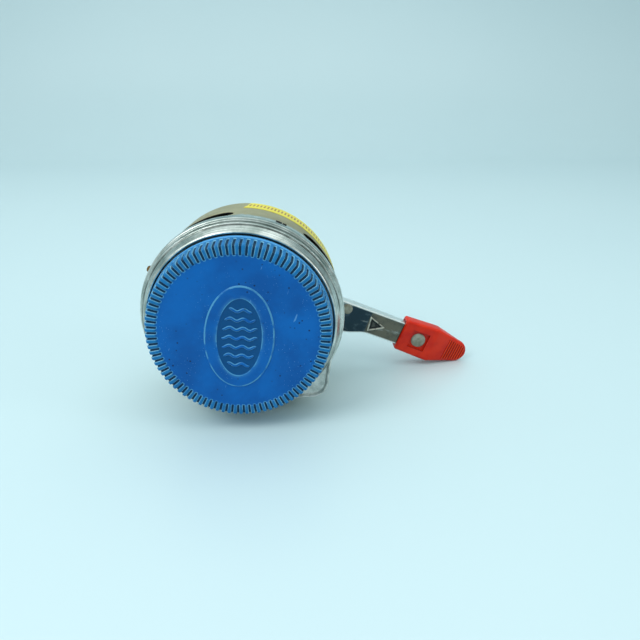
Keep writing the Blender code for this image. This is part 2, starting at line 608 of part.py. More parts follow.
def build_foot(side, lift):
    """Reel foot on its pedestal, with two screws into the back plate."""
    base = BACK_REAR + REST_GAP
    tip = FOOT_LENGTH / 2
    seat = 14.0
    underside = DEPTH - FOOT_THICKNESS
    outline = [(-tip, DEPTH), (-tip, DEPTH - FOOT_TIP_THICKNESS), (-seat - 4, underside)]
    outline += [(-seat, underside - 1.0), (-seat + 2, base), (seat - 2, base), (seat, underside - 1.0)]
    outline += [(seat + 4, underside), (tip, DEPTH - FOOT_TIP_THICKNESS), (tip, DEPTH)]
    block = slab([outline], -FOOT_WIDTH / 2, FOOT_WIDTH / 2)
    foot = add("reel_foot", across(block), "aluminium", side, lift)
    rounding = FOOT_WIDTH / 2
    middle = tip - rounding
    plan = arc(rounding, 90.0, -90.0, 8, (middle, 0.0)) + arc(rounding, -90.0, -270.0, 8, (-middle, 0.0))
    combine(foot, slab([plan], base - 1.0, DEPTH + 1.0), "INTERSECT", lift)
    for number, sign in ((1, -1), (2, 1)):
        place = (sign * FOOT_SCREW_PLACE, 0.0)
        bore = rod(SCREW_RADIUS + REST_GAP, base - 1.0, DEPTH - 3.0)
        combine(foot, moved(bore, (place[0], 0, 0)), "DIFFERENCE", lift)
        head = BACK_FRONT - REST_GAP
        profile = [(0, head - 1.2), (SCREW_HEAD_RADIUS - 0.4, head - 1.1), (SCREW_HEAD_RADIUS, head - 0.4)]
        profile += [(SCREW_HEAD_RADIUS, head), (SCREW_RADIUS, head), (SCREW_RADIUS, DEPTH - 4.0)]
        profile += [(0, DEPTH - 4.0)]
        offset = (place[0] + lift[0], lift[1], lift[2])
        add(f"foot_screw_{number}", turned(profile, SMALL), "steel", side, offset)


def build_trigger(side, hinge, lift, swing):
    """Trigger lever with its bracket, pin, spring, rivets and finger pad."""
    top = LEVER_OFFSET + LEVER_WIDTH / 2
    bottom = LEVER_OFFSET - LEVER_WIDTH / 2
    sheet = LEVER_SHEET
    flange_rear = LEVER_FRONT + LEVER_FLANGE
    deep = bottom - GUSSET_DROP
    outline = [(LEVER_START, bottom), (GUSSET_START, bottom), (GUSSET_START + 4, deep)]
    outline += [(GUSSET_START + 10, deep), (GUSSET_START + GUSSET_LENGTH, bottom)]
    outline += [(LEVER_END, bottom), (LEVER_END, top), (LEVER_START, top)]
    lever = add("trigger_lever", slab([outline], LEVER_FRONT, LEVER_FRONT + sheet), "chrome", hinge, swing)
    for low in (bottom, top - sheet):
        flange = slab([rectangle(LEVER_START, LEVER_END, low + 0.02, low + sheet - 0.02)],
                      LEVER_FRONT + sheet / 2, flange_rear)
        combine(lever, flange, "UNION", swing)
    bore = across(rod(PIN_RADIUS + RUN_GAP, -15.0, 15.0))
    combine(lever, bore, "DIFFERENCE", (0.0, 0.0, 0.0))
    root_place = (ROOT_RIVET_PLACE, 0, LEVER_OFFSET + ROOT_RIVET_RISE)
    pad_place = (RIVET_PLACE, 0, LEVER_OFFSET)
    rivets = (
        ("root_rivet", root_place, ROOT_RIVET_RADIUS, ROOT_RIVET_HEIGHT, ROOT_RIVET_SHANK),
        ("pad_rivet", pad_place, PAD_RIVET_RADIUS, PAD_RIVET_HEIGHT, PAD_RIVET_SHANK),
    )
    for name, place, radius, height, shank in rivets:
        hole = rod(shank + REST_GAP, LEVER_FRONT - 1, LEVER_FRONT + sheet + 1, SMALL)
        combine(lever, moved(hole, place), "DIFFERENCE", swing)
        piece = rivet(radius, height, shank, LEVER_FRONT, LEVER_FRONT + sheet)
        add(name, moved(piece, place), "dull_rivet", hinge, swing)
    build_pad(hinge, swing)
    build_bracket(side, lift)
    pin_half = EAR_REACH + 0.5
    pin = moved(across(rod(PIN_RADIUS, -pin_half, pin_half)), (0, 0, LEVER_OFFSET))
    add("trigger_pin", pin, "steel", hinge)
    coil = helix(PIN_RADIUS + 1.7 * COIL_WIRE, COIL_WIRE, 4, LEVER_WIDTH / 2 - sheet - 1.2)
    add("trigger_spring", moved(coil, (0, 0, LEVER_OFFSET)), "spring_steel", hinge)


def rivet(head, height, shank, front, rear):
    """Round-headed rivet through a sheet, along Y, with its head in front."""
    crown = front - REST_GAP
    tail = rear + REST_GAP
    profile = [(0, crown - height), (head * 0.6, crown - height * 0.85), (head, crown - height * 0.3)]
    profile += [(head, crown), (shank, crown), (shank, tail), (shank + 0.8, tail)]
    profile += [(shank + 0.6, tail + 0.6), (0, tail + 0.6)]
    return turned(profile, SMALL)


def build_bracket(side, lift):
    """Bracket on the back plate whose two ears carry the trigger's pin."""
    base = BACK_REAR + REST_GAP
    left = PIVOT_PLACE - 2.6
    low = LEVER_OFFSET - EAR_REACH
    high = LEVER_OFFSET + EAR_REACH
    rim = BACK_RADIUS - RIM_LIP - REST_GAP
    right = min(PIVOT_PLACE + 2.4, math.sqrt(rim ** 2 - high ** 2))
    foot = slab([rectangle(left, right, low, high)], base, base + 0.8)
    bracket = add("trigger_bracket", foot, "steel", side, lift)
    for near, far in ((low, low + EAR_THICKNESS), (high - EAR_THICKNESS, high)):
        ear = slab([rectangle(left, right, near + 0.01, far - 0.01)], base + 0.4, PIVOT_STATION + 2.2)
        combine(bracket, ear, "UNION", lift)
    bore = across(rod(PIN_RADIUS + RUN_GAP, -15.0, 15.0))
    offset = (PIVOT_PLACE + lift[0], PIVOT_STATION + lift[1], LEVER_OFFSET + lift[2])
    combine(bracket, bore, "DIFFERENCE", offset)


def helix(radius, wire, turns, half):
    """Coil of round wire along Z, from -half to +half, with closed ends."""
    shape = bmesh.new()
    sides = 5
    steps = 12 * turns
    rings = []
    for step in range(steps + 1):
        share = step / steps
        angle = 2 * math.pi * turns * share
        out = Vector((math.cos(angle), math.sin(angle), 0.0))
        centre = out * radius + Vector((0.0, 0.0, half * (2 * share - 1)))
        ring = []
        for side in range(sides):
            turn = 2 * math.pi * side / sides
            place = centre + out * (wire * math.cos(turn)) + Vector((0, 0, wire * math.sin(turn)))
            ring.append(shape.verts.new(place))
        rings.append(ring)
    for first, second in zip(rings, rings[1:]):
        for i in range(sides):
            shape.faces.new((first[i - 1], first[i], second[i], second[i - 1]))
    shape.faces.new(rings[0])
    shape.faces.new(rings[-1])
    bmesh.ops.recalc_face_normals(shape, faces=list(shape.faces))
    return shape


def build_pad(hinge, swing):
    """Finger pad: a sleeve over the lever's end, with a window and a sloping nose."""
    middle = LEVER_OFFSET
    half = PAD_WIDTH / 2
    end = PAD_START + PAD_LENGTH
    nose = arc(PAD_TIP, -62.0, 62.0, 8, (end - PAD_TIP, middle))
    plan = [(PAD_START, middle + half), (PAD_START, middle - half + 2.5), (PAD_START + 4, middle - half)]
    plan += [(PAD_START + PAD_BEND, middle - half)] + nose + [(PAD_START + PAD_BEND, middle + half)]
    rear = PAD_FRONT + PAD_DEPTH
    pad = add("finger_pad", slab([plan], PAD_FRONT, rear), "red_plastic", hinge, swing)
    slope = [(PAD_START + PAD_BEND, PAD_FRONT - 0.01), (end + 2, PAD_FRONT - 0.01), (end + 2, rear - 1.8)]
    wedge = across(slab([slope], -PAD_WIDTH * 2, PAD_WIDTH * 2))
    combine(pad, wedge, "DIFFERENCE", swing)
    socket = rectangle(PAD_START - 3, LEVER_END + REST_GAP, *lever_slot())
    flange_rear = LEVER_FRONT + LEVER_FLANGE
    cavity = slab([socket], LEVER_FRONT - REST_GAP, flange_rear + REST_GAP)
    combine(pad, cavity, "DIFFERENCE", swing)
    window_half = WINDOW_SIDE / 2
    opening = rectangle(RIVET_PLACE - window_half, RIVET_PLACE + window_half,
                        LEVER_OFFSET - window_half, LEVER_OFFSET + window_half)
    combine(pad, slab([opening], PAD_FRONT - 2, LEVER_FRONT + LEVER_SHEET), "DIFFERENCE", swing)


def lever_slot():
    """Sides of the space that the lever takes in the pad, across the lever."""
    half = LEVER_WIDTH / 2 + REST_GAP
    return (LEVER_OFFSET - half, LEVER_OFFSET + half)


def build_brake(side, lift):
    """Brake plunger, arm, shoe, pin and bracket behind the spool."""
    pin_place = (BRAKE_PIN_PLACE, BRAKE_PIN_STATION, LEVER_OFFSET)
    place = Matrix.Rotation(math.radians(-TRIGGER_ANGLE), 4, "Y") @ Vector(
        (pin_place[0], pin_place[1] + lift[1], pin_place[2]))
    hinge = frame("brake_axis", place, -TRIGGER_ANGLE)
    back = tuple(-value for value in pin_place)
    half = ARM_WIDTH / 2
    reach = BRAKE_ARM_REACH + SHOE_RADIUS
    outer = BRAKE_PIN_PLACE + BRAKE_ARM_REACH + PLUNGER_RADIUS + 0.4
    loop = rectangle(BRAKE_PIN_PLACE - reach, outer, LEVER_OFFSET - half, LEVER_OFFSET + half)
    arm = add("brake_arm", slab([loop], ARM_FRONT, ARM_REAR), "steel", hinge, back)
    bore = across(rod(BRAKE_PIN_RADIUS + RUN_GAP, -9.0, 9.0))
    combine(arm, bore, "DIFFERENCE")
    shoe = rod(SHOE_RADIUS, SPOOL_REAR + REST_GAP, ARM_FRONT - REST_GAP, SMALL)
    shoe = moved(shoe, (SHOE_PLACE, 0, LEVER_OFFSET))
    add("brake_shoe", shoe, "cork", hinge, back)
    pin_half = half + 2.0
    add("brake_pin", across(rod(BRAKE_PIN_RADIUS, -pin_half, pin_half, 12)), "steel", hinge)
    base = BACK_FRONT - REST_GAP
    clear = half + 0.4
    sides = rectangle(BRAKE_PIN_PLACE - 2, BRAKE_PIN_PLACE + 2,
                      LEVER_OFFSET - clear - 1, LEVER_OFFSET + clear + 1)
    bracket = add("brake_bracket", slab([sides], base - 0.8, base), "steel", side, lift)
    for near in (-clear - 1, clear):
        ear = rectangle(BRAKE_PIN_PLACE - 1.99, BRAKE_PIN_PLACE + 1.99,
                        LEVER_OFFSET + near + 0.01, LEVER_OFFSET + near + 0.99)
        combine(bracket, slab([ear], ARM_FRONT - 0.4, base - 0.4), "UNION", lift)
    tool = across(rod(BRAKE_PIN_RADIUS + RUN_GAP, -9.0, 9.0, 12))
    combine(bracket, tool, "DIFFERENCE", tuple(a + b for a, b in zip(pin_place, lift)))
    plunger = rod(PLUNGER_RADIUS, ARM_REAR + REST_GAP, LEVER_FRONT - REST_GAP)
    plunger = moved(plunger, (PLUNGER_PLACE, 0, LEVER_OFFSET))
    add("brake_plunger", plunger, "brass", side, lift)


def build():
    """Build the whole reel."""
    lift = (0.0, -DEPTH, 0.0)
    axis = frame("main_axis", (0.0, 0.0, 0.0))
    build_cap_group(axis, lift)
    build_arbor_group(axis, lift)
    build_idlers(lift)
    build_spool_group(axis, lift)
    build_housing(axis, lift)
    build_pawl(lift)
    build_gear_plate(axis, lift)
    build_shaft(axis, lift)
    build_drum(axis, lift)
    build_button(lift)
    side = frame("trigger_side", (0.0, 0.0, 0.0), -TRIGGER_ANGLE)
    turn = Matrix.Rotation(math.radians(-TRIGGER_ANGLE), 4, "Y")
    pivot = turn @ Vector((PIVOT_PLACE, PIVOT_STATION - DEPTH, 0.0))
    hinge = frame("trigger_axis", pivot, -TRIGGER_ANGLE)
    swing = (-PIVOT_PLACE, -PIVOT_STATION, 0.0)
    build_back(side, lift)
    build_foot(side, lift)
    build_trigger(side, hinge, lift, swing)
    build_brake(side, lift)


clear_scene()
PAINT = {slot: make_material(slot) for slot in MATERIALS}
build()
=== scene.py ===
"""Looks of a spring-wound automatic fly reel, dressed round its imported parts."""
import json
import logging
import math
from abc import ABC, abstractmethod
from dataclasses import dataclass
from enum import Enum
from typing import Any, Callable, Iterable, Mapping, Optional, Sequence

import bmesh
import bpy
import numpy as np
from numpy.typing import NDArray
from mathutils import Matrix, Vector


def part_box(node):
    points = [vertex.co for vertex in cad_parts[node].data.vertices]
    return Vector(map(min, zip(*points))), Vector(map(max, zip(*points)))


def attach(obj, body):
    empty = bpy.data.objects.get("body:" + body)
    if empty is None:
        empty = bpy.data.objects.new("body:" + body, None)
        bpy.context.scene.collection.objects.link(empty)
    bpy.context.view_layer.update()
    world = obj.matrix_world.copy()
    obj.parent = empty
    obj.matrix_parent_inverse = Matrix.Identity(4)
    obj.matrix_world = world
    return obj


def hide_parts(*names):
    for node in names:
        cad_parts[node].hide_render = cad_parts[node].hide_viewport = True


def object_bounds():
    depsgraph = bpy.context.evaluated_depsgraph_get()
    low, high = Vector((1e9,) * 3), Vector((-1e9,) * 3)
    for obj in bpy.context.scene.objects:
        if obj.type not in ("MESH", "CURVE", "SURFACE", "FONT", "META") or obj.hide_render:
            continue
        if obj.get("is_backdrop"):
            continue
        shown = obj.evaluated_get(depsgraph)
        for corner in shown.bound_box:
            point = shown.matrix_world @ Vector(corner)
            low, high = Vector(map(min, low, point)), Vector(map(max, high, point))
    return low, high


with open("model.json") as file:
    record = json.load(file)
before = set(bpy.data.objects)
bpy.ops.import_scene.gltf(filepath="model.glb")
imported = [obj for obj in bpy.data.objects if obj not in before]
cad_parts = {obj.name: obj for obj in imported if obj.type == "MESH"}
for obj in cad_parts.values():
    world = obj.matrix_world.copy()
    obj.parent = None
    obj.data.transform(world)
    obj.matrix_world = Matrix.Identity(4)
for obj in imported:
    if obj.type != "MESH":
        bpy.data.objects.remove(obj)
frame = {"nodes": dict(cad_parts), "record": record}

Array = NDArray[np.float64]
Socket = Any
Colour = tuple[float, float, float]
Value = Socket | float | Colour
Span = tuple[float, float]
Corner = tuple[float, float, float]

LOG = logging.getLogger("reel")
MM = 0.001
SHARP = math.radians(40)


class Body(Enum):
    """Moving groups that a piece can ride on."""

    FRAME = "frame"
    CAP = "winding_cap_body"
    SPOOL = "spool_body"
    TRIGGER = "trigger_body"
    BUTTON = "button_body"


class Slot(Enum):
    """Material slots of the record."""

    ENAMEL = "blue_enamel"
    ALUMINIUM = "aluminium"
    KHAKI = "khaki_paint"
    STEEL = "steel"
    SPRING = "spring_steel"
    BRASS = "brass"
    CHROME = "chrome"
    RED = "red_plastic"
    RIVET = "dull_rivet"
    CORK = "cork"


# ---------------------------------------------------------------- places


@dataclass(frozen=True)
class Stations:
    """Distances in millimetres, read from the frame.

    A station is a distance behind the front of the winding cap.
    """

    front: float

    @classmethod
    def read(cls) -> "Stations":
        """Read the cap's front face from the frame."""
        low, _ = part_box("winding_cap")
        return cls(front=low.y / MM)

    def span(self, node: str) -> Span:
        """Front and rear stations of a node.

        Args:
            node: name of a CAD node.

        Returns:
            The two stations in millimetres.
        """
        low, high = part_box(node)
        return low.y / MM - self.front, high.y / MM - self.front

    def radius(self, node: str) -> float:
        """Greatest distance of a round node's left side from the main axis, in millimetres."""
        low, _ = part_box(node)
        return -low.x / MM

    def place(self, points: Array) -> Array:
        """Turn (x, station, z) in millimetres into metres in the reel's frame.

        Args:
            points: array whose last axis is x, station, z.

        Returns:
            An array of the same shape, in metres.
        """
        moved = np.array(points, dtype=float)
        moved[..., 1] += self.front
        return moved * MM


def heading(degrees: float) -> Span:
    """Cosine and sine of an angle in degrees."""
    return math.cos(math.radians(degrees)), math.sin(math.radians(degrees))


@dataclass(frozen=True)
class LeverFrame:
    """The trigger's own frame: u outwards along the lever, v across it, t the station."""

    degrees: float = 21.7

    def place(self, u: Array, t: Array, v: Array) -> Array:
        """Turn (u, t, v) into (x, station, z): a turn about the main axis.

        Args:
            u: distances along the lever.
            t: stations.
            v: distances across the lever.

        Returns:
            Points with a last axis of x, station, z.
        """
        c, s = heading(self.degrees)
        u, t, v = np.broadcast_arrays(u, t, v)
        return np.stack([c * u + s * v, t, c * v - s * u], axis=-1)


# ---------------------------------------------------------------- meshes


def ring(radius: Array, angle: Array, station: Array) -> Array:
    """Points at radius and angle (radians from +X towards +Z) round the main axis.

    Args:
        radius: distances from the axis.
        angle: angles.
        station: distances behind the cap's front.

    Returns:
        Points with a last axis of x, station, z.
    """
    radius, angle, station = np.broadcast_arrays(radius, angle, station)
    return np.stack([radius * np.cos(angle), station, radius * np.sin(angle)], axis=-1)


def turns(count: int) -> Array:
    """Angles of a full turn, without the repeated last one."""
    return np.arange(count) * (2 * math.pi / count)


def smoothstep(low: float, high: float, value: Array) -> Array:
    """0 below low, 1 above high, and 3s^2 - 2s^3 between them."""
    share = np.clip((value - low) / (high - low), 0.0, 1.0)
    return share * share * (3.0 - 2.0 * share)


def filleted(corners: Sequence[Corner], steps: int = 5, closed: bool = True) -> Array:
    """Outline through corners, each rounded by a quadratic curve.

    At a corner P with round r, the curve runs from P - r a to P + r b, where a and b are
    unit vectors along the sides, as (1-s)^2 A + 2s(1-s) P + s^2 B.

    Args:
        corners: (first, second, round) of each corner.
        steps: points on each round.
        closed: whether the last corner joins the first.

    Returns:
        An array of (first, second).
    """
    place = np.array([corner[:2] for corner in corners], dtype=float)
    reach = np.array([corner[2] for corner in corners], dtype=float)
    count = len(place)
    parts: list[Array] = []
    share = np.linspace(0.0, 1.0, steps)[:, None]
    for i in range(count):
        if reach[i] <= 0 or (not closed and i in (0, count - 1)):
            parts.append(place[i][None])
            continue
        back = place[i - 1] - place[i]
        ahead = place[(i + 1) % count] - place[i]
        near = min(reach[i], 0.49 * np.linalg.norm(back), 0.49 * np.linalg.norm(ahead))
        start = place[i] + back / np.linalg.norm(back) * near
        end = place[i] + ahead / np.linalg.norm(ahead) * near
        parts.append((1 - share) ** 2 * start + 2 * share * (1 - share) * place[i] + share**2 * end)
    return np.concatenate(parts)


def resample(line: Array, spacing: float) -> Array:
    """Add points so that no step of an open line is longer than a spacing.

    Args:
        line: points of an open line.
        spacing: longest step.

    Returns:
        The line's own points with more between them.
    """
    steps = np.linalg.norm(np.diff(line, axis=0), axis=1)
    along = np.concatenate([[0.0], np.cumsum(steps)])
    pieces = [np.linspace(a, b, max(1, math.ceil((b - a) / spacing)), endpoint=False)
              for a, b in zip(along, along[1:])]
    where = np.concatenate(pieces + [along[-1:]])
    return np.stack([np.interp(where, along, line[:, k]) for k in range(line.shape[1])], axis=1)


@dataclass
class Maker:
    """Puts grids of points into meshes and dresses them."""

    stations: Stations

    def grid(
        self,
        name: str,
        points: Array,
        closed: tuple[bool, bool] = (True, False),
        keep: Optional[NDArray[np.bool_]] = None,
        marks: Optional[Array] = None,
        lids: bool = False,
    ) -> bpy.types.Object:
        """Make an object from a grid: neighbours (i, j), (i+1, j), (i+1, j+1), (i, j+1) form a face.

        Args:
            name: the piece's name.
            points: array of rows, columns, and x, station, z in millimetres.
            closed: whether rows and columns join up at their ends.
            keep: which faces to keep.
            marks: a value for each point, kept as the attribute "mark".
            lids: whether to close its open ends with flat faces.

        Returns:
            The new object, with its doubles merged and its faces pointing outwards.
        """
        rows, columns = points.shape[:2]
        i = np.arange(rows if closed[0] else rows - 1)
        j = np.arange(columns if closed[1] else columns - 1)
        a, b = np.meshgrid(i, j, indexing="ij")
        c, d = (a + 1) % rows, (b + 1) % columns
        faces = np.stack([a * columns + b, c * columns + b, c * columns + d, a * columns + d], -1)
        chosen = faces.reshape(-1, 4) if keep is None else faces[keep]
        mesh = bpy.data.meshes.new(name)
        mesh.from_pydata(self.stations.place(points).reshape(-1, 3).tolist(), [], chosen.tolist())
        if marks is not None:
            layer = mesh.attributes.new("mark", "FLOAT", "POINT")
            layer.data.foreach_set("value", np.ascontiguousarray(marks, dtype=np.float32).ravel())
        piece = self.finish(name, mesh)
        if lids:
            self.cap(piece)
        return piece

    @staticmethod
    def finish(name: str, mesh: bpy.types.Mesh) -> bpy.types.Object:
        """Merge doubles, drop loose points, shade the mesh and link an object.

        Args:
            name: the piece's name.
            mesh: the mesh, in metres.

        Returns:
            The new object.
        """
        work = bmesh.new()
        work.from_mesh(mesh)
        bmesh.ops.remove_doubles(work, verts=list(work.verts), dist=2e-7)
        loose = [vert for vert in work.verts if not vert.link_faces]
        bmesh.ops.delete(work, geom=loose, context="VERTS")
        bmesh.ops.recalc_face_normals(work, faces=list(work.faces))
        work.to_mesh(mesh)
        work.free()
        mesh.shade_smooth()
        mesh.set_sharp_from_angle(angle=SHARP)
        piece = bpy.data.objects.new(name, mesh)
        bpy.context.scene.collection.objects.link(piece)
        return piece

    def lathe(self, name: str, outline: Array, count: int = 256) -> bpy.types.Object:
        """Turn a closed outline of (radius, station) once round the main axis.

        Args:
            name: the piece's name.
            outline: closed loop of (radius, station).
            count: steps round the axis.

        Returns:
            The new object.
        """
        angle = turns(count)[:, None]
        return self.grid(name, ring(outline[None, :, 0], angle, outline[None, :, 1]), (True, True))

    def spindle(self, name: str, outline: Array, base: Callable[[Array], Array],
                count: int = 32) -> bpy.types.Object:
        """Turn an outline of (radius, height), open at the axis, about a line of its own.

        A point is (r cos a, r sin a, h), and base puts it in the reel.

        Args:
            name: the piece's name.
            outline: open line of (radius, height), both ends at radius 0.
            base: maps points (side, up, height) to (x, station, z).
            count: steps round the line.

        Returns:
            The new object.
        """
        angle = turns(count)[:, None]
        radius, height = outline[None, :, 0], outline[None, :, 1]
        local = np.stack([radius * np.cos(angle), radius * np.sin(angle),
                          np.broadcast_to(height, (count, outline.shape[0]))], -1)
        return self.grid(name, base(local), (True, False))

    @staticmethod
    def cap(piece: bpy.types.Object) -> None:
        """Close a tube's open ends with flat faces."""
        work = bmesh.new()
        work.from_mesh(piece.data)
        edges = [edge for edge in work.edges if edge.is_boundary]
        filled = bmesh.ops.holes_fill(work, edges=edges, sides=0)
        bmesh.ops.triangulate(work, faces=filled["faces"])
        bmesh.ops.recalc_face_normals(work, faces=list(work.faces))
        work.to_mesh(piece.data)
        work.free()
        piece.data.set_sharp_from_angle(angle=SHARP)

    def settle(self, piece: bpy.types.Object, body: Body, slot: Slot, finish: bpy.types.Material,
               nodes: Sequence[str] = ()) -> bpy.types.Object:
        """Dress a piece, make it ride on its body, and hide the CAD nodes that it replaces.

        Args:
            piece: the new object.
            body: what it moves with.
            slot: the record's slot; not used.
            finish: its material.
            nodes: CAD nodes that it replaces.

        Returns:
            The piece.
        """
        piece.data.materials.clear()
        piece.data.materials.append(finish)
        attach(piece, body.value)
        if nodes:
            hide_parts(*nodes)
        LOG.info("%s: %d faces", piece.name, len(piece.data.polygons))
        return piece


# ---------------------------------------------------------------- materials


class Bench:
    """A material's node tree with short ways to add what a finish needs."""

    def __init__(self, name: str, metallic: float = 0.0, specular: float = 0.5,
                 roughness: float = 0.4) -> None:
        """Start a Principled material.

        Args:
            name: the material's name.
            metallic: value for the shader's own socket.
            specular: value for the shader's own socket.
            roughness: value for the shader's own socket, where gloss() doesn't drive it.
        """
        self.material = bpy.data.materials.new(name)
        self.material.use_nodes = True
        self.tree = self.material.node_tree
        self.shader = self.tree.nodes["Principled BSDF"]
        for socket, value in (("Metallic", metallic), ("Specular IOR Level", specular),
                              ("Roughness", roughness)):
            self.shader.inputs[socket].default_value = value
        coordinates = self.tree.nodes.new("ShaderNodeTexCoord")
        self.place: Socket = coordinates.outputs["Object"]

    def link(self, source: Socket, target: Socket) -> None:
        """Join two sockets."""
        self.tree.links.new(source, target)

    def feed(self, values: Iterable[Value], targets: Iterable[Socket]) -> None:
        """Link each value that is a socket, and set each one that is a number or a colour."""
        for value, target in zip(values, targets):
            if isinstance(value, (int, float)):
                target.default_value = value
            elif isinstance(value, tuple):
                target.default_value = (*value, 1.0)
            else:
                self.link(value, target)

    def node(self, kind: str, values: Mapping[str, Value]) -> Any:
        """Add a shader node and feed its inputs.

        Args:
            kind: Blender's name of the node, without "ShaderNode".
            values: a socket or a number for each input's name.

        Returns:
            The node.
        """
        node = self.tree.nodes.new(f"ShaderNode{kind}")
        self.feed(values.values(), [node.inputs[name] for name in values])
        return node

    def math(self, operation: str, *values: Value) -> Socket:
        """Add a Math node.

        Args:
            operation: Blender's name of the operation.
            values: its inputs, sockets or numbers.

        Returns:
            The result's socket.
        """
        node = self.tree.nodes.new("ShaderNodeMath")
        node.operation = operation
        self.feed(values, node.inputs)
        return node.outputs[0]

    def times(self, first: Value, second: Value) -> Socket:
        """The product of two values."""
        return self.math("MULTIPLY", first, second)

    def plus(self, first: Value, second: Value) -> Socket:
        """The sum of two values."""
        return self.math("ADD", first, second)

    def minus(self, first: Value, second: Value) -> Socket:
        """The first value less the second."""
        return self.math("SUBTRACT", first, second)

    def split(self) -> tuple[Socket, Socket, Socket]:
        """The object coordinate's x, y and z."""
        node = self.tree.nodes.new("ShaderNodeSeparateXYZ")
        self.link(self.place, node.inputs[0])
        return node.outputs[0], node.outputs[1], node.outputs[2]

    def radial(self) -> tuple[Socket, Socket]:
        """Distance from the main axis, and the angle round it, from object coordinates."""
        x, _, z = self.split()
        square = self.plus(self.times(x, x), self.times(z, z))
        return self.math("SQRT", square), self.math("ARCTAN2", z, x)

    def vector(self, x: Value, y: Value, z: Value) -> Socket:
        """A vector from three inputs."""
        node = self.tree.nodes.new("ShaderNodeCombineXYZ")
        self.feed((x, y, z), node.inputs)
        return node.outputs[0]

    def noise(self, scale: float, detail: float = 3.0, rough: float = 0.55,
              place: Optional[Socket] = None) -> Socket:
        """A noise texture's value.

        Args:
            scale: cells per metre.
            detail: octaves.
            rough: how strong the fine octaves are.
            place: coordinates, or the object's own.

        Returns:
            The value's socket.
        """
        values = {"Scale": scale, "Detail": detail, "Roughness": rough, "Vector": place or self.place}
        return self.node("TexNoise", values).outputs[0]

    def spots(self, scale: float, size: float, patch: float, low: float = 0.5,
              high: float = 0.6) -> Socket:
        """1 inside small dots that are gathered into patches, and 0 elsewhere.

        Args:
            scale: dots' cells per metre.
            size: dot radius as a share of a cell.
            patch: the patches' noise, in cells per metre.
            low: noise where patches start.
            high: noise where they are full.

        Returns:
            The mask's socket.
        """
        cells = self.node("TexVoronoi", {"Scale": scale, "Vector": self.place})
        dots = self.step(cells.outputs["Distance"], size, size * 0.5)
        return self.times(dots, self.step(self.noise(patch), low, high))

    def step(self, value: Socket, low: float, high: float) -> Socket:
        """A smooth step from 0 at low to 1 at high, which may be the lesser of the two."""
        start, end = (1.0, 0.0) if low > high else (0.0, 1.0)
        node = self.node("MapRange", {"From Min": min(low, high), "From Max": max(low, high),
                                      "To Min": start, "To Max": end, "Value": value})
        node.interpolation_type = "SMOOTHSTEP"
        return node.outputs[0]

    def edge(self, value: Socket, middle: float, blur: float) -> Socket:
        """A smooth step that spans a blur on each side of its middle; a negative blur falls."""
        return self.step(value, middle - blur, middle + blur)

    def blend(self, factor: Socket, first: Value, second: Value) -> Socket:
        """Mix two colours.

        Args:
            factor: 0 gives first, 1 gives second.
            first: a socket or a colour.
            second: a socket or a colour.

        Returns:
            The colour's socket.
        """
        node = self.tree.nodes.new("ShaderNodeMix")
        node.data_type = "RGBA"
        self.link(factor, node.inputs["Factor"])
        self.feed((first, second), node.inputs[6:8])
        return node.outputs[2]

    def mark(self) -> Socket:
        """The mesh's own attribute "mark"."""
        node = self.tree.nodes.new("ShaderNodeAttribute")
        node.attribute_name = "mark"
        return node.outputs["Fac"]

    def bump(self, height: Socket, depth: float, strength: float = 1.0) -> None:
        """Bump the shader's normal by a height.

        Args:
            height: value from 0 to 1.
            depth: metres for a height of 1; a negative one sinks.
            strength: share of the bump.
        """
        node = self.node("Bump", {"Distance": depth, "Strength": strength, "Height": height})
        normal = self.shader.inputs["Normal"]
        if normal.is_linked:
            self.link(normal.links[0].from_socket, node.inputs["Normal"])
        self.link(node.outputs[0], normal)

    def paint(self, colour: Socket) -> None:
        """Set the base colour."""
        self.link(colour, self.shader.inputs["Base Color"])

    def gloss(self, value: Socket, low: float, high: float) -> None:
        """Spread the roughness from low to high over a value from 0 to 1."""
        spread = self.math("MULTIPLY_ADD", value, high - low, low)
        self.link(spread, self.shader.inputs["Roughness"])


def srgb(code: str) -> Colour:
    """Linear colour from a six-digit sRGB code."""
    values = [int(code[i:i + 2], 16) / 255 for i in (0, 2, 4)]
    red, green, blue = [v / 12.92 if v <= 0.04045 else ((v + 0.055) / 1.055) ** 2.4 for v in values]
    return (red, green, blue)


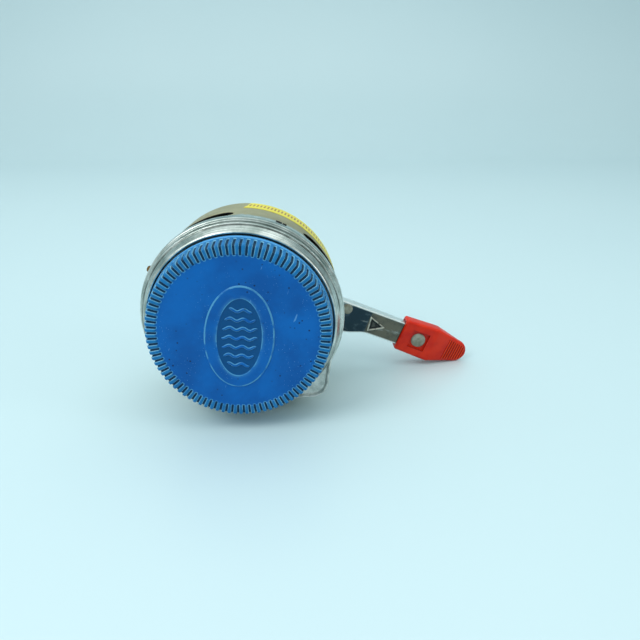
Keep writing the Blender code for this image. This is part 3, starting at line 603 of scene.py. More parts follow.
@dataclass(frozen=True)
class EnamelFinish:
    """Blue enamel: mottled and speckled on the face, darker in the grooves between the ribs, rubbed on
    their edges.
    """

    face: Colour = srgb("0062b2")
    deep: Colour = srgb("00529c")
    rib: Colour = srgb("1a74b0")
    rib_deep: Colour = srgb("14639c")
    # painted shade: darker blue for the medallion's sunk panel
    panel: Colour = srgb("004a80")
    panel_edge: Colour = srgb("5aa4c8")
    rubbed: Colour = srgb("78b8d2")
    groove: Colour = srgb("04304e")
    # painted light: the skirt's lighter blue stands for the light falling on it from above
    skirt_painted_light: Colour = srgb("58a4de")
    speck: Colour = srgb("6aa8d8")
    grime: Colour = srgb("0a2a4c")
    patches: Span = (0.44, 0.58)
    face_edge: float = 32.4 * MM
    face_blur: float = 0.2 * MM
    skirt_front: float = 7.3 * MM
    skirt_blur: float = 0.3 * MM

    def material(self, front: float) -> bpy.types.Material:
        """Build the material.

        Args:
            front: the cap's front in metres along Y.

        Returns:
            The material, which reads the attribute "mark": a rib's height on the shell, from 0 in
            a groove to 1 on top, and on the medallion 1 on top, 0.5 on an edge and 0 in the panel.
        """
        bench = Bench("blue_enamel_worn", specular=0.18)
        radius, _ = bench.radial()
        _, depth, _ = bench.split()
        station = bench.minus(depth, front)
        cloud = bench.noise(55.0, 4.0, 0.6)
        colour = bench.blend(bench.step(cloud, 0.35, 0.68), self.face, self.deep)
        colour = bench.blend(bench.spots(1000.0, 0.13, 60.0, *self.patches), colour, self.speck)
        colour = bench.blend(bench.spots(330.0, 0.16, 45.0, *self.patches), colour, self.grime)
        scuff = bench.noise(35.0, 2.0, 0.5, bench.vector(*self.streak(bench)))
        colour = bench.blend(bench.times(bench.step(scuff, 0.72, 0.75), 0.5), colour, self.speck)
        height = bench.mark()
        edge = bench.times(bench.step(height, 0.35, 0.55), bench.step(height, 0.97, 0.8))
        patchy = bench.times(edge, bench.step(bench.noise(220.0, 4.0), 0.3, 0.55))
        worn = bench.blend(bench.step(cloud, 0.3, 0.7), self.rib, self.rib_deep)
        top = bench.blend(bench.step(height, 0.25, 0.6), self.groove, worn)
        ribs = bench.blend(bench.times(patchy, 0.8), top, self.rubbed)
        rim = bench.edge(radius, self.face_edge, self.face_blur)
        # painted shade: the sunk panel, where the mark is low, takes the darker panel blue
        badge = bench.blend(bench.step(height, 0.2, 0.45), self.panel, colour)
        badge = bench.blend(bench.times(patchy, 0.75), badge, self.panel_edge)
        colour = bench.blend(rim, badge, ribs)
        # painted light: lightens the skirt band behind the ribs all round
        band = bench.edge(station, self.skirt_front, self.skirt_blur)
        colour = bench.blend(band, colour, self.skirt_painted_light)
        bench.paint(colour)
        bench.gloss(bench.noise(140.0, 4.0), 0.3, 0.5)
        bench.bump(bench.noise(700.0, 3.0), 0.00003, 0.7)
        return bench.material

    @staticmethod
    def streak(bench: Bench) -> tuple[Socket, float, Socket]:
        """Coordinates squeezed along one slanting line, for fine scratches."""
        x, _, z = bench.split()
        along = bench.plus(x, bench.times(z, 3.0))
        across = bench.minus(bench.times(x, 18.0), bench.times(z, 6.0))
        return along, 0.0, across


@dataclass(frozen=True)
class TurnedFinish:
    """Metal turned on a lathe: fine rings, stains, small pits, and darker lines at its grooves."""

    name: str
    light: Colour
    dark: Colour
    low: float = 0.16
    high: float = 0.36
    rings: float = 9000.0
    groove_darkening: Colour = srgb("2a2f2d")
    band: Colour = srgb("7f8a84")
    pit: Colour = srgb("4a4f4e")
    grooves: tuple[Corner, ...] = ()

    def material(self, front: float = 0.0) -> bpy.types.Material:
        """Build the material: noise stretched round the main axis gives the rings.

        Args:
            front: the cap's front in metres along Y, from which the grooves' stations count.

        Returns:
            The material.
        """
        bench = Bench(self.name, metallic=1.0)
        radius, angle = bench.radial()
        _, depth, _ = bench.split()
        slow = bench.times(angle, 0.0006)
        lines = bench.noise(self.rings, 2.0, 0.5, bench.vector(radius, slow, depth))
        bands = bench.noise(1500.0, 2.0, 0.5, bench.vector(radius, slow, depth))
        stain = bench.noise(90.0, 5.0, 0.65)
        colour = bench.blend(bench.step(stain, 0.38, 0.66), self.light, self.dark)
        colour = bench.blend(bench.times(bench.step(bands, 0.45, 0.7), 0.55), colour, self.band)
        pits = bench.spots(700.0, 0.12, 50.0)
        colour = bench.blend(bench.times(pits, 0.6), colour, self.pit)
        patch = bench.step(bench.noise(120.0, 3.0), 0.25, 0.6)
        for station, half, strength in self.grooves:
            off = bench.math("ABSOLUTE", bench.minus(depth, front + station * MM))
            line = bench.times(bench.step(off, half * MM, half * 0.4 * MM), strength)
            colour = bench.blend(bench.times(line, patch), colour, self.groove_darkening)
        bench.paint(colour)
        bench.gloss(bench.times(bench.plus(lines, stain), 0.5), self.low, self.high)
        bench.bump(lines, 0.00002, 0.6)
        return bench.material


@dataclass(frozen=True)
class PaintFinish:
    """Semi-gloss paint over metal, chipped in small patches and bare along the front edge."""

    name: str = "khaki_paint_worn"
    light: Colour = srgb("98926a")
    dark: Colour = srgb("837d5a")
    bare: Colour = srgb("93a19c")
    dark_speck_and_groove: Colour = srgb("3e4030")
    bare_to: float = 24.0 * MM
    bare_blur: float = 0.1 * MM
    ragged: float = 12.0 * MM

    def material(self, front: float) -> bpy.types.Material:
        """Build the material.

        Args:
            front: the cap's front in metres along Y.

        Returns:
            The material.
        """
        bench = Bench(self.name, metallic=0.15, specular=0.4)
        _, depth, _ = bench.split()
        cloud = bench.noise(60.0, 5.0, 0.6)
        colour = bench.blend(bench.step(cloud, 0.35, 0.65), self.light, self.dark)
        ragged = bench.times(bench.minus(bench.noise(110.0, 4.0), 0.5), self.ragged)
        edge = bench.plus(bench.minus(depth, front), ragged)
        bare = bench.edge(edge, self.bare_to, -self.bare_blur)
        chips = bench.math("MAXIMUM", bench.step(bench.noise(160.0, 5.0, 0.7), 0.70, 0.72), bare)
        colour = bench.blend(chips, colour, self.bare)
        colour = bench.blend(bench.spots(500.0, 0.09, 70.0), colour, self.dark_speck_and_groove)
        bench.paint(colour)
        bench.gloss(cloud, 0.32, 0.52)
        bench.bump(bench.noise(1400.0, 2.0), 0.00002, 0.6)
        bench.bump(chips, -0.00003, 1.0)
        return bench.material


@dataclass(frozen=True)
class PlatedFinish:
    """Bright plating with fine scratches along the lever; its web is painted with a mottled dark
    reflection, lighter past the crease, with lighter painted streaks.
    """

    crease: float = 61.8 * MM
    crease_blur: float = 0.3 * MM
    bright: Colour = srgb("f4f5f1")
    dulled: Colour = srgb("c9ccc4")
    dark_web_reflection: Colour = srgb("2b3a42")
    dark_web_reflection_light: Colour = srgb("56646a")
    outer_web_reflection: Colour = srgb("6c665a")
    outer_web_reflection_dark: Colour = srgb("4c4e4a")
    web_reflection_streak: Colour = srgb("a7aba6")

    def material(self, place: LeverFrame) -> bpy.types.Material:
        """Build the material, which reads the attribute "mark": 1 on the web, 0 elsewhere.

        Args:
            place: the lever's own frame.

        Returns:
            The material.
        """
        bench = Bench("bright_plating", metallic=1.0)
        x, depth, z = bench.split()
        cosine, sine = heading(place.degrees)
        along = bench.minus(bench.times(x, cosine), bench.times(z, sine))
        across = bench.plus(bench.times(x, sine), bench.times(z, cosine))
        lines = bench.noise(2600.0, 3.0, 0.6, bench.vector(bench.times(along, 0.05), depth, across))
        cloud = bench.noise(170.0, 5.0, 0.62)
        web_reflection_streak = bench.noise(300.0, 4.0, 0.6, bench.vector(bench.times(along, 0.25), depth, across))
        on_web = bench.mark()
        # painted reflection: the web is dark as if it mirrored a dark room, and past the crease it turns a
        # lighter grey-brown, as that side would mirror differently
        inner = bench.blend(bench.step(cloud, 0.5, 0.72), self.dark_web_reflection, self.dark_web_reflection_light)
        outer = bench.blend(bench.step(cloud, 0.4, 0.7), self.outer_web_reflection, self.outer_web_reflection_dark)
        web = bench.blend(bench.edge(along, self.crease, self.crease_blur), inner, outer)
        # painted reflection: lighter streaks along the lever over the dark web
        web = bench.blend(bench.times(bench.step(web_reflection_streak, 0.56, 0.7), 0.6), web, self.web_reflection_streak)
        rest = bench.blend(bench.step(cloud, 0.5, 0.75), self.bright, self.dulled)
        bench.paint(bench.blend(on_web, rest, web))
        worn = bench.plus(bench.times(lines, 0.4), bench.times(cloud, 0.6))
        side = bench.times(bench.minus(1.0, on_web), 0.55)
        bench.gloss(bench.plus(worn, side), 0.05, 0.32)
        bench.bump(lines, 0.00001, 0.35)
        return bench.material


@dataclass(frozen=True)
class PressedFinish:
    """Pressed mark in the plating: the attribute "mark" is 1 on its rim, painted with a bright highlight,
    and 0 in its middle, painted with a dark reflection.
    """

    rim: Colour = srgb("dcdacb")
    middle: Colour = srgb("101416")

    def material(self) -> bpy.types.Material:
        """Build the material."""
        bench = Bench("pressed_plating", metallic=0.6)
        # painted highlight on the rim, broken up by noise, over a painted dark reflection in the middle
        rubbed = bench.times(bench.mark(), bench.step(bench.noise(500.0, 4.0), 0.25, 0.5))
        bench.paint(bench.blend(rubbed, self.middle, self.rim))
        bench.gloss(bench.noise(300.0), 0.25, 0.45)
        return bench.material


@dataclass(frozen=True)
class PlasticFinish:
    """Moulded red plastic: slight mottling, a soft shine, lighter rib crests and darker grooves between its
    ribs.
    """

    light: Colour = srgb("d82800")
    deep: Colour = srgb("c01400")
    crest: Colour = srgb("ee5220")
    dark_speck_and_groove: Colour = srgb("7e1204")
    nick: Colour = srgb("e87a60")

    def material(self) -> bpy.types.Material:
        """Build the material, which reads the attribute "mark": a rib's height, from 0 to 1.

        A mark of 0.5 stands for plain plastic, 1 for a rib's lighter crest and 0 for a darker groove.
        """
        bench = Bench("red_moulded_plastic", specular=0.28)
        cloud = bench.noise(90.0, 4.0, 0.55)
        colour = bench.blend(bench.step(cloud, 0.35, 0.7), self.light, self.deep)
        height = bench.mark()
        colour = bench.blend(bench.times(bench.step(height, 0.6, 1.0), 0.7), colour, self.crest)
        colour = bench.blend(bench.times(bench.step(height, 0.45, 0.1), 0.8), colour, self.dark_speck_and_groove)
        bench.paint(bench.blend(bench.spots(600.0, 0.1, 90.0, 0.54, 0.62), colour, self.nick))
        bench.gloss(bench.noise(400.0, 4.0), 0.3, 0.46)
        bench.bump(bench.noise(900.0, 3.0), 0.00004, 0.6)
        return bench.material


@dataclass(frozen=True)
class MetalFinish:
    """Plain metal with a little stain, for small and inner parts."""

    name: str
    light: Colour
    dark: Colour
    low: float = 0.25
    high: float = 0.5
    metallic: float = 1.0
    grain: float = 300.0

    def material(self) -> bpy.types.Material:
        """Build the material."""
        bench = Bench(self.name, metallic=self.metallic)
        cloud = bench.noise(self.grain, 5.0, 0.65)
        bench.paint(bench.blend(bench.step(cloud, 0.35, 0.7), self.light, self.dark))
        bench.gloss(cloud, self.low, self.high)
        bench.bump(bench.noise(self.grain * 6, 2.0), 0.00003, 0.6)
        return bench.material


@dataclass(frozen=True)
class LabelFinish:
    """Printed yellow strip: the attribute "mark" runs across it from 0 to 1."""

    ground: Colour = srgb("f0e020")
    shade: Colour = srgb("dccb10")
    ink: Colour = srgb("a0701c")
    dashes: float = 26.0

    def material(self) -> bpy.types.Material:
        """Build the material: a plain ground with a worn row of plain slanting dashes."""
        bench = Bench("yellow_strip")
        _, angle = bench.radial()
        across = bench.mark()
        lean = bench.plus(bench.times(angle, self.dashes), bench.times(across, 0.8))
        saw = bench.math("FRACT", lean)
        dash = bench.times(bench.step(saw, 0.42, 0.5), bench.step(saw, 0.98, 0.9))
        row = bench.times(bench.step(across, 0.28, 0.34), bench.step(across, 0.74, 0.68))
        ink = bench.times(dash, row)
        ground = bench.blend(bench.noise(200.0, 4.0), self.ground, self.shade)
        bench.paint(bench.blend(ink, ground, self.ink))
        return bench.material


class Finishes:
    """All the reel's finishes, each built once."""

    def __init__(self, front: float) -> None:
        """Build every material.

        Args:
            front: the cap's front in metres along Y.
        """
        grooves = ((10.3, 0.16, 0.5), (11.5, 0.14, 0.45), (13.3, 0.4, 0.85), (15.5, 0.35, 1.0),
                   (16.6, 0.3, 0.9))
        turned = TurnedFinish("turned_housing", srgb("dde2dc"), srgb("9aa69f"), 0.2, 0.38,
                              grooves=grooves)
        self.enamel = EnamelFinish().material(front)
        self.aluminium = TurnedFinish("turned_aluminium", srgb("ccd2d0"), srgb("a4aeaa")).material()
        self.housing = turned.material(front)
        self.lobe = self.metal("satin_lobe", "d4d8d2", "a4aca6", 0.28, 0.45, 0.5)
        self.khaki = PaintFinish().material(front)
        self.plating = PlatedFinish().material(LeverFrame())
        self.pressing = PressedFinish().material()
        self.red = PlasticFinish().material()
        self.rivet = self.metal("dull_rivet", "a9a798", "7d7a69", 0.4, 0.65, 0.6)
        self.brass = self.metal("aged_brass", "8a6a3c", "4e3a1c", 0.35, 0.6)
        self.steel = self.metal("satin_steel", "b4b7b8", "878b8c")
        self.spring = self.metal("blued_spring", "5a6270", "363c48")
        self.cork = self.metal("pressed_cork", "a9805a", "6e4a2c", 0.8, 0.95, 0.0, 900.0)
        self.label = LabelFinish().material()
        # near-black painted shade: stands in for the shade inside the drum, seen through its windows
        self.shadow = self.metal("near_black_painted_shade", "16191a", "0b0d0e", 0.5, 0.8, 0.2)

    @staticmethod
    def metal(name: str, light: str, dark: str, *values: float) -> bpy.types.Material:
        """A plain metal from two sRGB codes and MetalFinish's other values, in order."""
        return MetalFinish(name, srgb(light), srgb(dark), *values).material()

    def by_slot(self) -> dict[str, bpy.types.Material]:
        """The finish for each of the record's slots."""
        pairs = ((Slot.ENAMEL, self.enamel), (Slot.ALUMINIUM, self.aluminium), (Slot.KHAKI, self.khaki),
                 (Slot.STEEL, self.steel), (Slot.SPRING, self.spring), (Slot.BRASS, self.brass),
                 (Slot.CHROME, self.plating), (Slot.RED, self.red), (Slot.RIVET, self.rivet),
                 (Slot.CORK, self.cork))
        return {slot.value: finish for slot, finish in pairs}


# ---------------------------------------------------------------- sub-assemblies


@dataclass
class Assembly(ABC):
    """Pieces that are built together, and what they are built with."""

    maker: Maker
    finishes: Finishes
    place: LeverFrame = LeverFrame()

    @abstractmethod
    def build(self) -> None:
        """Build the pieces."""


@dataclass
class WindingCap(Assembly):
    """Ribbed blue cap with a raised medallion on its face."""

    radius: float = 36.8
    skirt_radius: float = 37.45
    depth: float = 10.0
    face_depth: float = 0.5
    face_radius: float = 32.4
    wall: float = 2.0
    ribs: int = 90
    rib_height: float = 0.8
    rib_end: float = 7.0
    steps: int = 14
    oval: Span = (14.0, 22.0)
    panel: Span = (8.8, 16.5)
    lean: float = -5.6
    drop: float = -1.5
    waves: int = 7
    wave_pitch: float = 3.9
    wave_rise: float = 0.55
    wave_length: float = 5.2

    def build(self) -> None:
        """Build the shell and the medallion."""
        self.shell()
        self.medallion()

    def outline(self) -> Array:
        """Half outline from the middle of the face, over the ribs and skirt, to the inside."""
        outer = [(0.0, self.face_depth, 0.0), (self.face_radius, self.face_depth, 0.0)]
        outer += [(self.face_radius + 0.3, 0.04, 0.3), (self.radius - 0.1, 0.0, 1.1)]
        side = self.radius + (self.skirt_radius - self.radius) * 0.7
        outer += [(side, self.rib_end, 0.0), (self.skirt_radius, self.rib_end + 0.5, 0.3)]
        outer += [(self.skirt_radius, self.depth - 0.35, 0.0), (self.skirt_radius - 0.3, self.depth, 0.2)]
        inner = self.radius - self.wall
        outer += [(inner, self.depth, 0.2), (inner, self.wall, 0.6), (0.0, self.wall, 0.0)]
        line = filleted(outer, 6, closed=False)
        fine = resample(line, 0.6)
        middle = fine[:, 0] < self.face_radius - 1.0
        inside = fine[:, 1] > self.depth - 0.01
        first_inside = int(np.argmax(inside))
        order = np.arange(len(fine))
        coarse = (middle | (order > first_inside + 3)) & (order % 6 != 0)
        return fine[~coarse | (fine[:, 0] < 1e-6)]

    def shell(self) -> None:
        """Turn the outline, and sink grooves between the ribs.

        A rib's height is a flattened cosine of the angle times the number of ribs. On the face
        a groove goes down to the face's own plane; on the side it goes in by rib_height.
        """
        line = self.outline()
        angle = turns(self.ribs * self.steps)[:, None]
        radius, station = line[None, :, 0], line[None, :, 1]
        wave = np.cos(self.ribs * angle) + 0.28
        lobe = 0.5 + 0.5 * np.tanh(2.8 * wave) / math.tanh(2.8 * 1.28)
        lobe = np.clip(lobe, 0.0, 1.0)
        on_side = smoothstep(self.rib_end, self.rib_end - 0.7, station)
        outside = (radius > self.face_radius - 0.01) & (station <= self.rib_end + 0.01)
        side_share = smoothstep(self.radius - 1.6, self.radius - 0.1, radius)
        shrink = self.rib_height * (1.0 - lobe) * side_share * on_side * outside
        to_face = np.maximum(self.face_depth - station, 0.0) * (1.0 - lobe) * outside
        points = ring(radius - shrink, angle, station + to_face)
        marks = 1.0 - (1.0 - lobe) * on_side * outside
        cap = self.maker.grid("winding_cap_shell", points, (True, False), marks=marks)
        self.maker.settle(cap, Body.CAP, Slot.ENAMEL, self.finishes.enamel, ["winding_cap"])

    def leaned(self, x: Array, z: Array) -> tuple[Array, Array]:
        """Turn and lower a place on the medallion into the cap's own plane."""
        cosine, sine = heading(self.lean)
        return cosine * x - sine * z, sine * x + cosine * z + self.drop

    def medallion(self) -> None:
        """Plain generic medallion: an upright oval rim round a sunk panel with raised waves.

        The rim lies between two ovals of points (a cos s, b sin s) and is lofted in steps from
        the inner one to the outer one.
        """
        turn = turns(144)[:, None]
        share = np.array([0.0, 0.55, 0.97, 1.0, 1.03, 1.08, 1.5, 1.85, 1.90, 1.94, 1.97, 2.0])
        height = np.array([0.05, 0.05, 0.05, 0.12, 0.30, 0.34, 0.36, 0.38, 0.40, 0.34, 0.12, -0.05])
        marks = np.array([0.0, 0.0, 0.0, 0.3, 0.6, 0.9, 1.0, 1.0, 0.7, 0.6, 0.55, 1.0])
        across, up = [np.interp(share, [0.0, 1.0, 2.0], [0.0, self.panel[k], self.oval[k]])
                      for k in range(2)]
        x, z = self.leaned(across[None] * np.cos(turn), up[None] * np.sin(turn))
        station = np.broadcast_to(self.face_depth - height[None], x.shape)
        values = np.broadcast_to(marks[None], x.shape)
        rim = self.maker.grid("medallion_rim", np.stack([x, station, z], -1), (True, False), marks=values)
        self.maker.settle(rim, Body.CAP, Slot.ENAMEL, self.finishes.enamel)
        for number in range(self.waves):
            self.wave(number + 1, (number - (self.waves - 1) / 2) * self.wave_pitch)

    def wave(self, number: int, height: float) -> None:
        """Raised wave: a half-round section carried along z = h + a sin(k x), thin at its ends.

        Args:
            number: which wave.
            height: its middle over the medallion's middle.
        """
        reach = self.panel[0] * math.sqrt(1.0 - (height / self.panel[1]) ** 2) - 1.7
        along = reach * np.sin(np.linspace(-math.pi / 2, math.pi / 2, 48))
        crest = self.wave_rise * np.sin(along * 2 * math.pi / self.wave_length)
        slope = np.gradient(crest, along)
        length = np.sqrt(1.0 + slope**2)
        thick = np.sqrt(np.maximum(1.0 - (along / reach) ** 8, 0.0)) + 1e-4
        turn = np.linspace(0.0, 2 * math.pi, 14, endpoint=False)
        side = 0.62 * thick[:, None] * np.cos(turn)[None]
        rise = 0.46 * thick[:, None] * np.maximum(np.sin(turn), -0.2)[None]
        x = along[:, None] - side * (slope / length)[:, None]
        z = height + crest[:, None] + side / length[:, None]
        x, z = self.leaned(x, z)
        station = self.face_depth - 0.03 - rise
        marks = 0.35 + 0.65 * np.maximum(np.sin(turn), 0.0)[None] * np.ones_like(x)
        piece = self.maker.grid(f"medallion_wave_{number}", np.stack([x, station, z], -1), (False, True),
                                marks=marks, lids=True)
        self.maker.settle(piece, Body.CAP, Slot.ENAMEL, self.finishes.enamel)


@dataclass
class FrontHousing(Assembly):
    """Stepped aluminium ring with a dished lobe."""

    lip_inner: float = 38.0
    lip_front: float = 9.45
    bead: float = 41.5
    band: float = 42.9
    rear: float = 21.4
    floor_front: float = 12.3
    floor_rear: float = 13.8
    bore: float = 9.95
    lobe_angle: float = -46.7
    lobe_reach: float = 41.2
    lobe_corner: float = 8.0
    lobe_sweep: float = 52.0
    lobe_wing: float = 21.0
    lobe_floor: float = 7.2
    lobe_front: float = 14.6
    lobe_rear: float = 17.1

    def build(self) -> None:
        """Build the ring and the lobe."""
        corners = [(self.lip_inner, self.floor_front, 0.3), (self.lip_inner, self.lip_front + 0.45, 0.4)]
        corners += [(self.lip_inner + 0.6, self.lip_front - 0.12, 0.5), (self.lip_inner + 1.35, 10.05, 0.4)]
        corners += [(40.6, 13.0, 0.3), (40.75, 13.55, 0.25), (self.bead - 0.15, 13.6, 0.5)]
        corners += [(self.bead + 0.1, 14.45, 0.5), (self.bead - 0.1, 15.2, 0.3), (41.1, 15.35, 0.15)]
        corners += [(41.15, 15.75, 0.15), (42.1, 15.8, 0.3), (42.2, 16.35, 0.2), (41.95, 16.5, 0.1)]
        corners += [(42.0, 16.8, 0.1), (42.75, 17.0, 0.5), (self.band, 18.0, 0.5)]
        corners += [(self.band, self.rear - 0.1, 0.25), (41.8, self.rear, 0.15), (41.8, 17.5, 0.2)]
        corners += [(39.4, 15.4, 0.3), (39.4, self.floor_rear, 0.2), (self.bore, self.floor_rear, 0.1)]
        corners += [(self.bore, self.floor_front, 0.1)]
        outline = filleted(corners, 5)
        loop = resample(np.concatenate([outline, outline[:1]]), 4.0)[:-1]
        shell = self.maker.lathe("housing_ring", loop, 288)
        self.maker.settle(shell, Body.FRAME, Slot.ALUMINIUM, self.finishes.housing, ["front_housing"])
        self.lobe()

    def edge(self, share: Array) -> Array:
        """Lobe's edge: straight from the band to a round corner and back to the band.

        Args:
            share: 0 to 1 along the edge.

        Returns:
            Points (x, z) evenly spaced along the edge.
        """
        centre = self.lobe_reach * np.array(heading(self.lobe_angle))
        turn = np.radians(self.lobe_angle + np.linspace(self.lobe_sweep, -self.lobe_sweep, 24))
        corner = centre + self.lobe_corner * np.stack([np.cos(turn), np.sin(turn)], axis=1)
        first, last = [(self.band - 1.0) * np.array(heading(self.lobe_angle + wing))
                       for wing in (self.lobe_wing, -self.lobe_wing)]
        line = np.concatenate([first[None], corner, last[None]])
        along = np.concatenate([[0.0], np.cumsum(np.linalg.norm(np.diff(line, axis=0), axis=1))])
        where = share * along[-1]
        return np.stack([np.interp(where, along, line[:, k]) for k in range(2)], axis=1)

    def lobe(self) -> None:
        """Dished ear: its section runs from inside the band, over a floor, to a rolled lip.

        A section point lies at edge - inward * d, where d is the distance in from the edge.
        """
        share = np.linspace(0.0, 1.0, 72)
        edge = self.edge(share)
        ahead = np.gradient(edge, axis=0)
        ahead /= np.linalg.norm(ahead, axis=1, keepdims=True)
        inward = np.stack([ahead[:, 1], -ahead[:, 0]], axis=1)
        middle = self.lobe_reach * np.array(heading(self.lobe_angle))
        inward *= np.sign(np.sum(inward * (middle - edge), axis=1))[:, None]
        front, rear = self.lobe_front, self.lobe_rear
        section = filleted([(0.0, front + 0.5, 0.6), (0.55, front - 0.05, 0.5), (1.15, front + 0.5, 0.4),
                            (1.6, front + 1.3, 0.6), (self.lobe_floor, front + 1.5, 0.0),
                            (self.lobe_floor, rear, 0.0), (1.2, rear, 0.6), (0.15, rear - 0.6, 0.7)], 6)
        flat = edge[:, None, :] + inward[:, None, :] * section[None, :, :1]
        station = np.broadcast_to(section[None, :, 1], flat.shape[:2])
        points = np.stack([flat[..., 0], station, flat[..., 1]], axis=-1)
        caps = points.mean(axis=1, keepdims=True)
        ends = [np.broadcast_to(caps[0], points[0].shape), np.broadcast_to(caps[-1], points[-1].shape)]
        points = np.concatenate([ends[0][None], points, ends[1][None]])
        piece = self.maker.grid("housing_lobe", points, (False, True))
        self.maker.settle(piece, Body.FRAME, Slot.ALUMINIUM, self.finishes.lobe)


@dataclass
class SpoolDrum(Assembly):
    """Khaki drum with round-ended line windows, a rolled rear edge and a yellow strip."""

    front: float = 21.6
    rear: float = 56.8
    front_radius: float = 42.6
    rear_radius: float = 41.2
    lip_radius: float = 38.4
    lip_round: float = 0.7
    wall: float = 0.5
    window_front: float = 22.4
    window_width: float = 9.4
    window_sweep: float = 79.0
    windows: int = 3
    window_rows: int = 16
    window_columns: int = 60
    land_columns: int = 30
    land_middle: float = 73.0
    strip_front: float = 38.0
    strip_taper: float = -4.0
    strip_slant: float = -3.0
    strip_rear: float = 55.4
    strip_angles: Span = (20.0, 88.5)

    def build(self) -> None:
        """Build the drum and its strip."""
        self.shell()
        self.strip()

    def radius_at(self, station: Array) -> Array:
        """The drum's tapering outer radius."""
        share = (station - self.front) / (self.rear - self.front)
        return self.front_radius + (self.rear_radius - self.front_radius) * share

    def columns(self, station: float) -> Array:
        """Angles of the grid's columns at one station, bent round the windows' ends.

        Each window's end is a half circle: it moves in by r - sqrt(r^2 - (t - m)^2).

        Args:
            station: distance behind the cap's front.

        Returns:
            Angles in radians over a full turn.
        """
        half = self.window_width / 2
        middle = self.window_front + half
        off = np.clip(abs(station - middle), 0.0, half)
        inset = (half - math.sqrt(half * half - off * off)) / self.front_radius
        pitch = 2 * math.pi / self.windows
        sweep = math.radians(self.window_sweep)
        start = math.radians(self.land_middle) + (pitch - sweep) / 2
        parts = []
        for number in range(self.windows):
            low = start + pitch * number
            high = low + sweep - inset
            parts.append(np.linspace(low + inset, high, self.window_columns, endpoint=False))
            parts.append(np.linspace(high, low + pitch + inset, self.land_columns, endpoint=False))
        return np.concatenate(parts)

    def shell(self) -> None:
        """Wall of the drum as a bent grid without the windows' faces, then thickened."""
        turn = np.linspace(0, math.pi, self.window_rows + 1)
        inside = self.window_front + self.window_width * 0.5 * (1 - np.cos(turn))
        behind = np.linspace(inside[-1] + 2.0, self.rear - self.lip_round, 10)
        stations = np.concatenate([[self.front], inside, behind])
        angles = np.stack([self.columns(float(t)) for t in stations], axis=1)
        wall = ring(self.radius_at(stations)[None, :], angles, stations[None, :])
        corner = np.linspace(0.0, math.pi / 2, 6)[1:]
        radii = self.rear_radius - self.lip_round * (1 - np.cos(corner))
        radii = np.concatenate([radii, [self.lip_radius]])
        depths = np.concatenate([self.rear - self.lip_round * (1 - np.sin(corner)), [self.rear]])
        rolled = ring(radii[None, :], angles[:, -1:], depths[None, :])
        points = np.concatenate([wall, rolled], axis=1)
        rows, columns = points.shape[0], points.shape[1] - 1
        keep = np.ones((rows, columns), dtype=bool)
        for number in range(self.windows):
            first = number * (self.window_columns + self.land_columns)
            keep[first:first + self.window_columns, 1:self.window_rows + 1] = False
        drum = self.maker.grid("drum_shell", points, (True, False), keep=keep)
        face = drum.data.polygons[len(drum.data.polygons) // 2]
        centre, normal = face.center, face.normal
        if centre.x * normal.x + centre.z * normal.z < 0:
            drum.data.flip_normals()
        thick = drum.modifiers.new("wall", "SOLIDIFY")
        thick.thickness = self.wall * MM
        thick.offset = -1.0
        thick.use_even_offset = True
        # inside faces and the windows' cut edges take the second material, the near-black painted shade
        thick.material_offset = 1
        thick.material_offset_rim = 1
        self.maker.settle(drum, Body.FRAME, Slot.KHAKI, self.finishes.khaki, ["spool_housing"])
        drum.data.materials.append(self.finishes.shadow)

    def strip(self) -> None:
        """Thin strip bent round the drum near its rear edge, its front edge running back at one end."""
        low, high = (math.radians(a) for a in self.strip_angles)
        angle = np.linspace(low, high, 90)[:, None]
        share = (angle - low) / (high - low)
        across = np.array([0.0, 0.0, 0.25, 0.5, 0.75, 1.0, 1.0])[None]
        lift = np.array([0.02, 0.12, 0.12, 0.12, 0.12, 0.12, 0.02])[None]
        front = self.strip_front - self.strip_taper * share
        station = front + (self.strip_rear - front) * across
        slant = angle + np.radians(self.strip_slant) * (across - 0.5) * smoothstep(0.7, 1.0, share)
        outer = ring(self.radius_at(station) + lift, slant, station)
        inner = ring(self.radius_at(station[:, ::-1]) - 0.05, slant[:, ::-1], station[:, ::-1])
        section = np.concatenate([outer, inner], axis=1)
        row = np.concatenate([across[0], across[0, ::-1]])
        marks = np.broadcast_to(row, section.shape[:2])
        piece = self.maker.grid("yellow_strip", section, (False, True), marks=marks, lids=True)
        self.maker.settle(piece, Body.FRAME, Slot.KHAKI, self.finishes.label)


@dataclass(frozen=True)
class Rivet:
    """A rivet's CAD node, its place along the lever and above its middle line, and its head."""

    node: str
    along: float
    above: float
    radius: float
    height: float


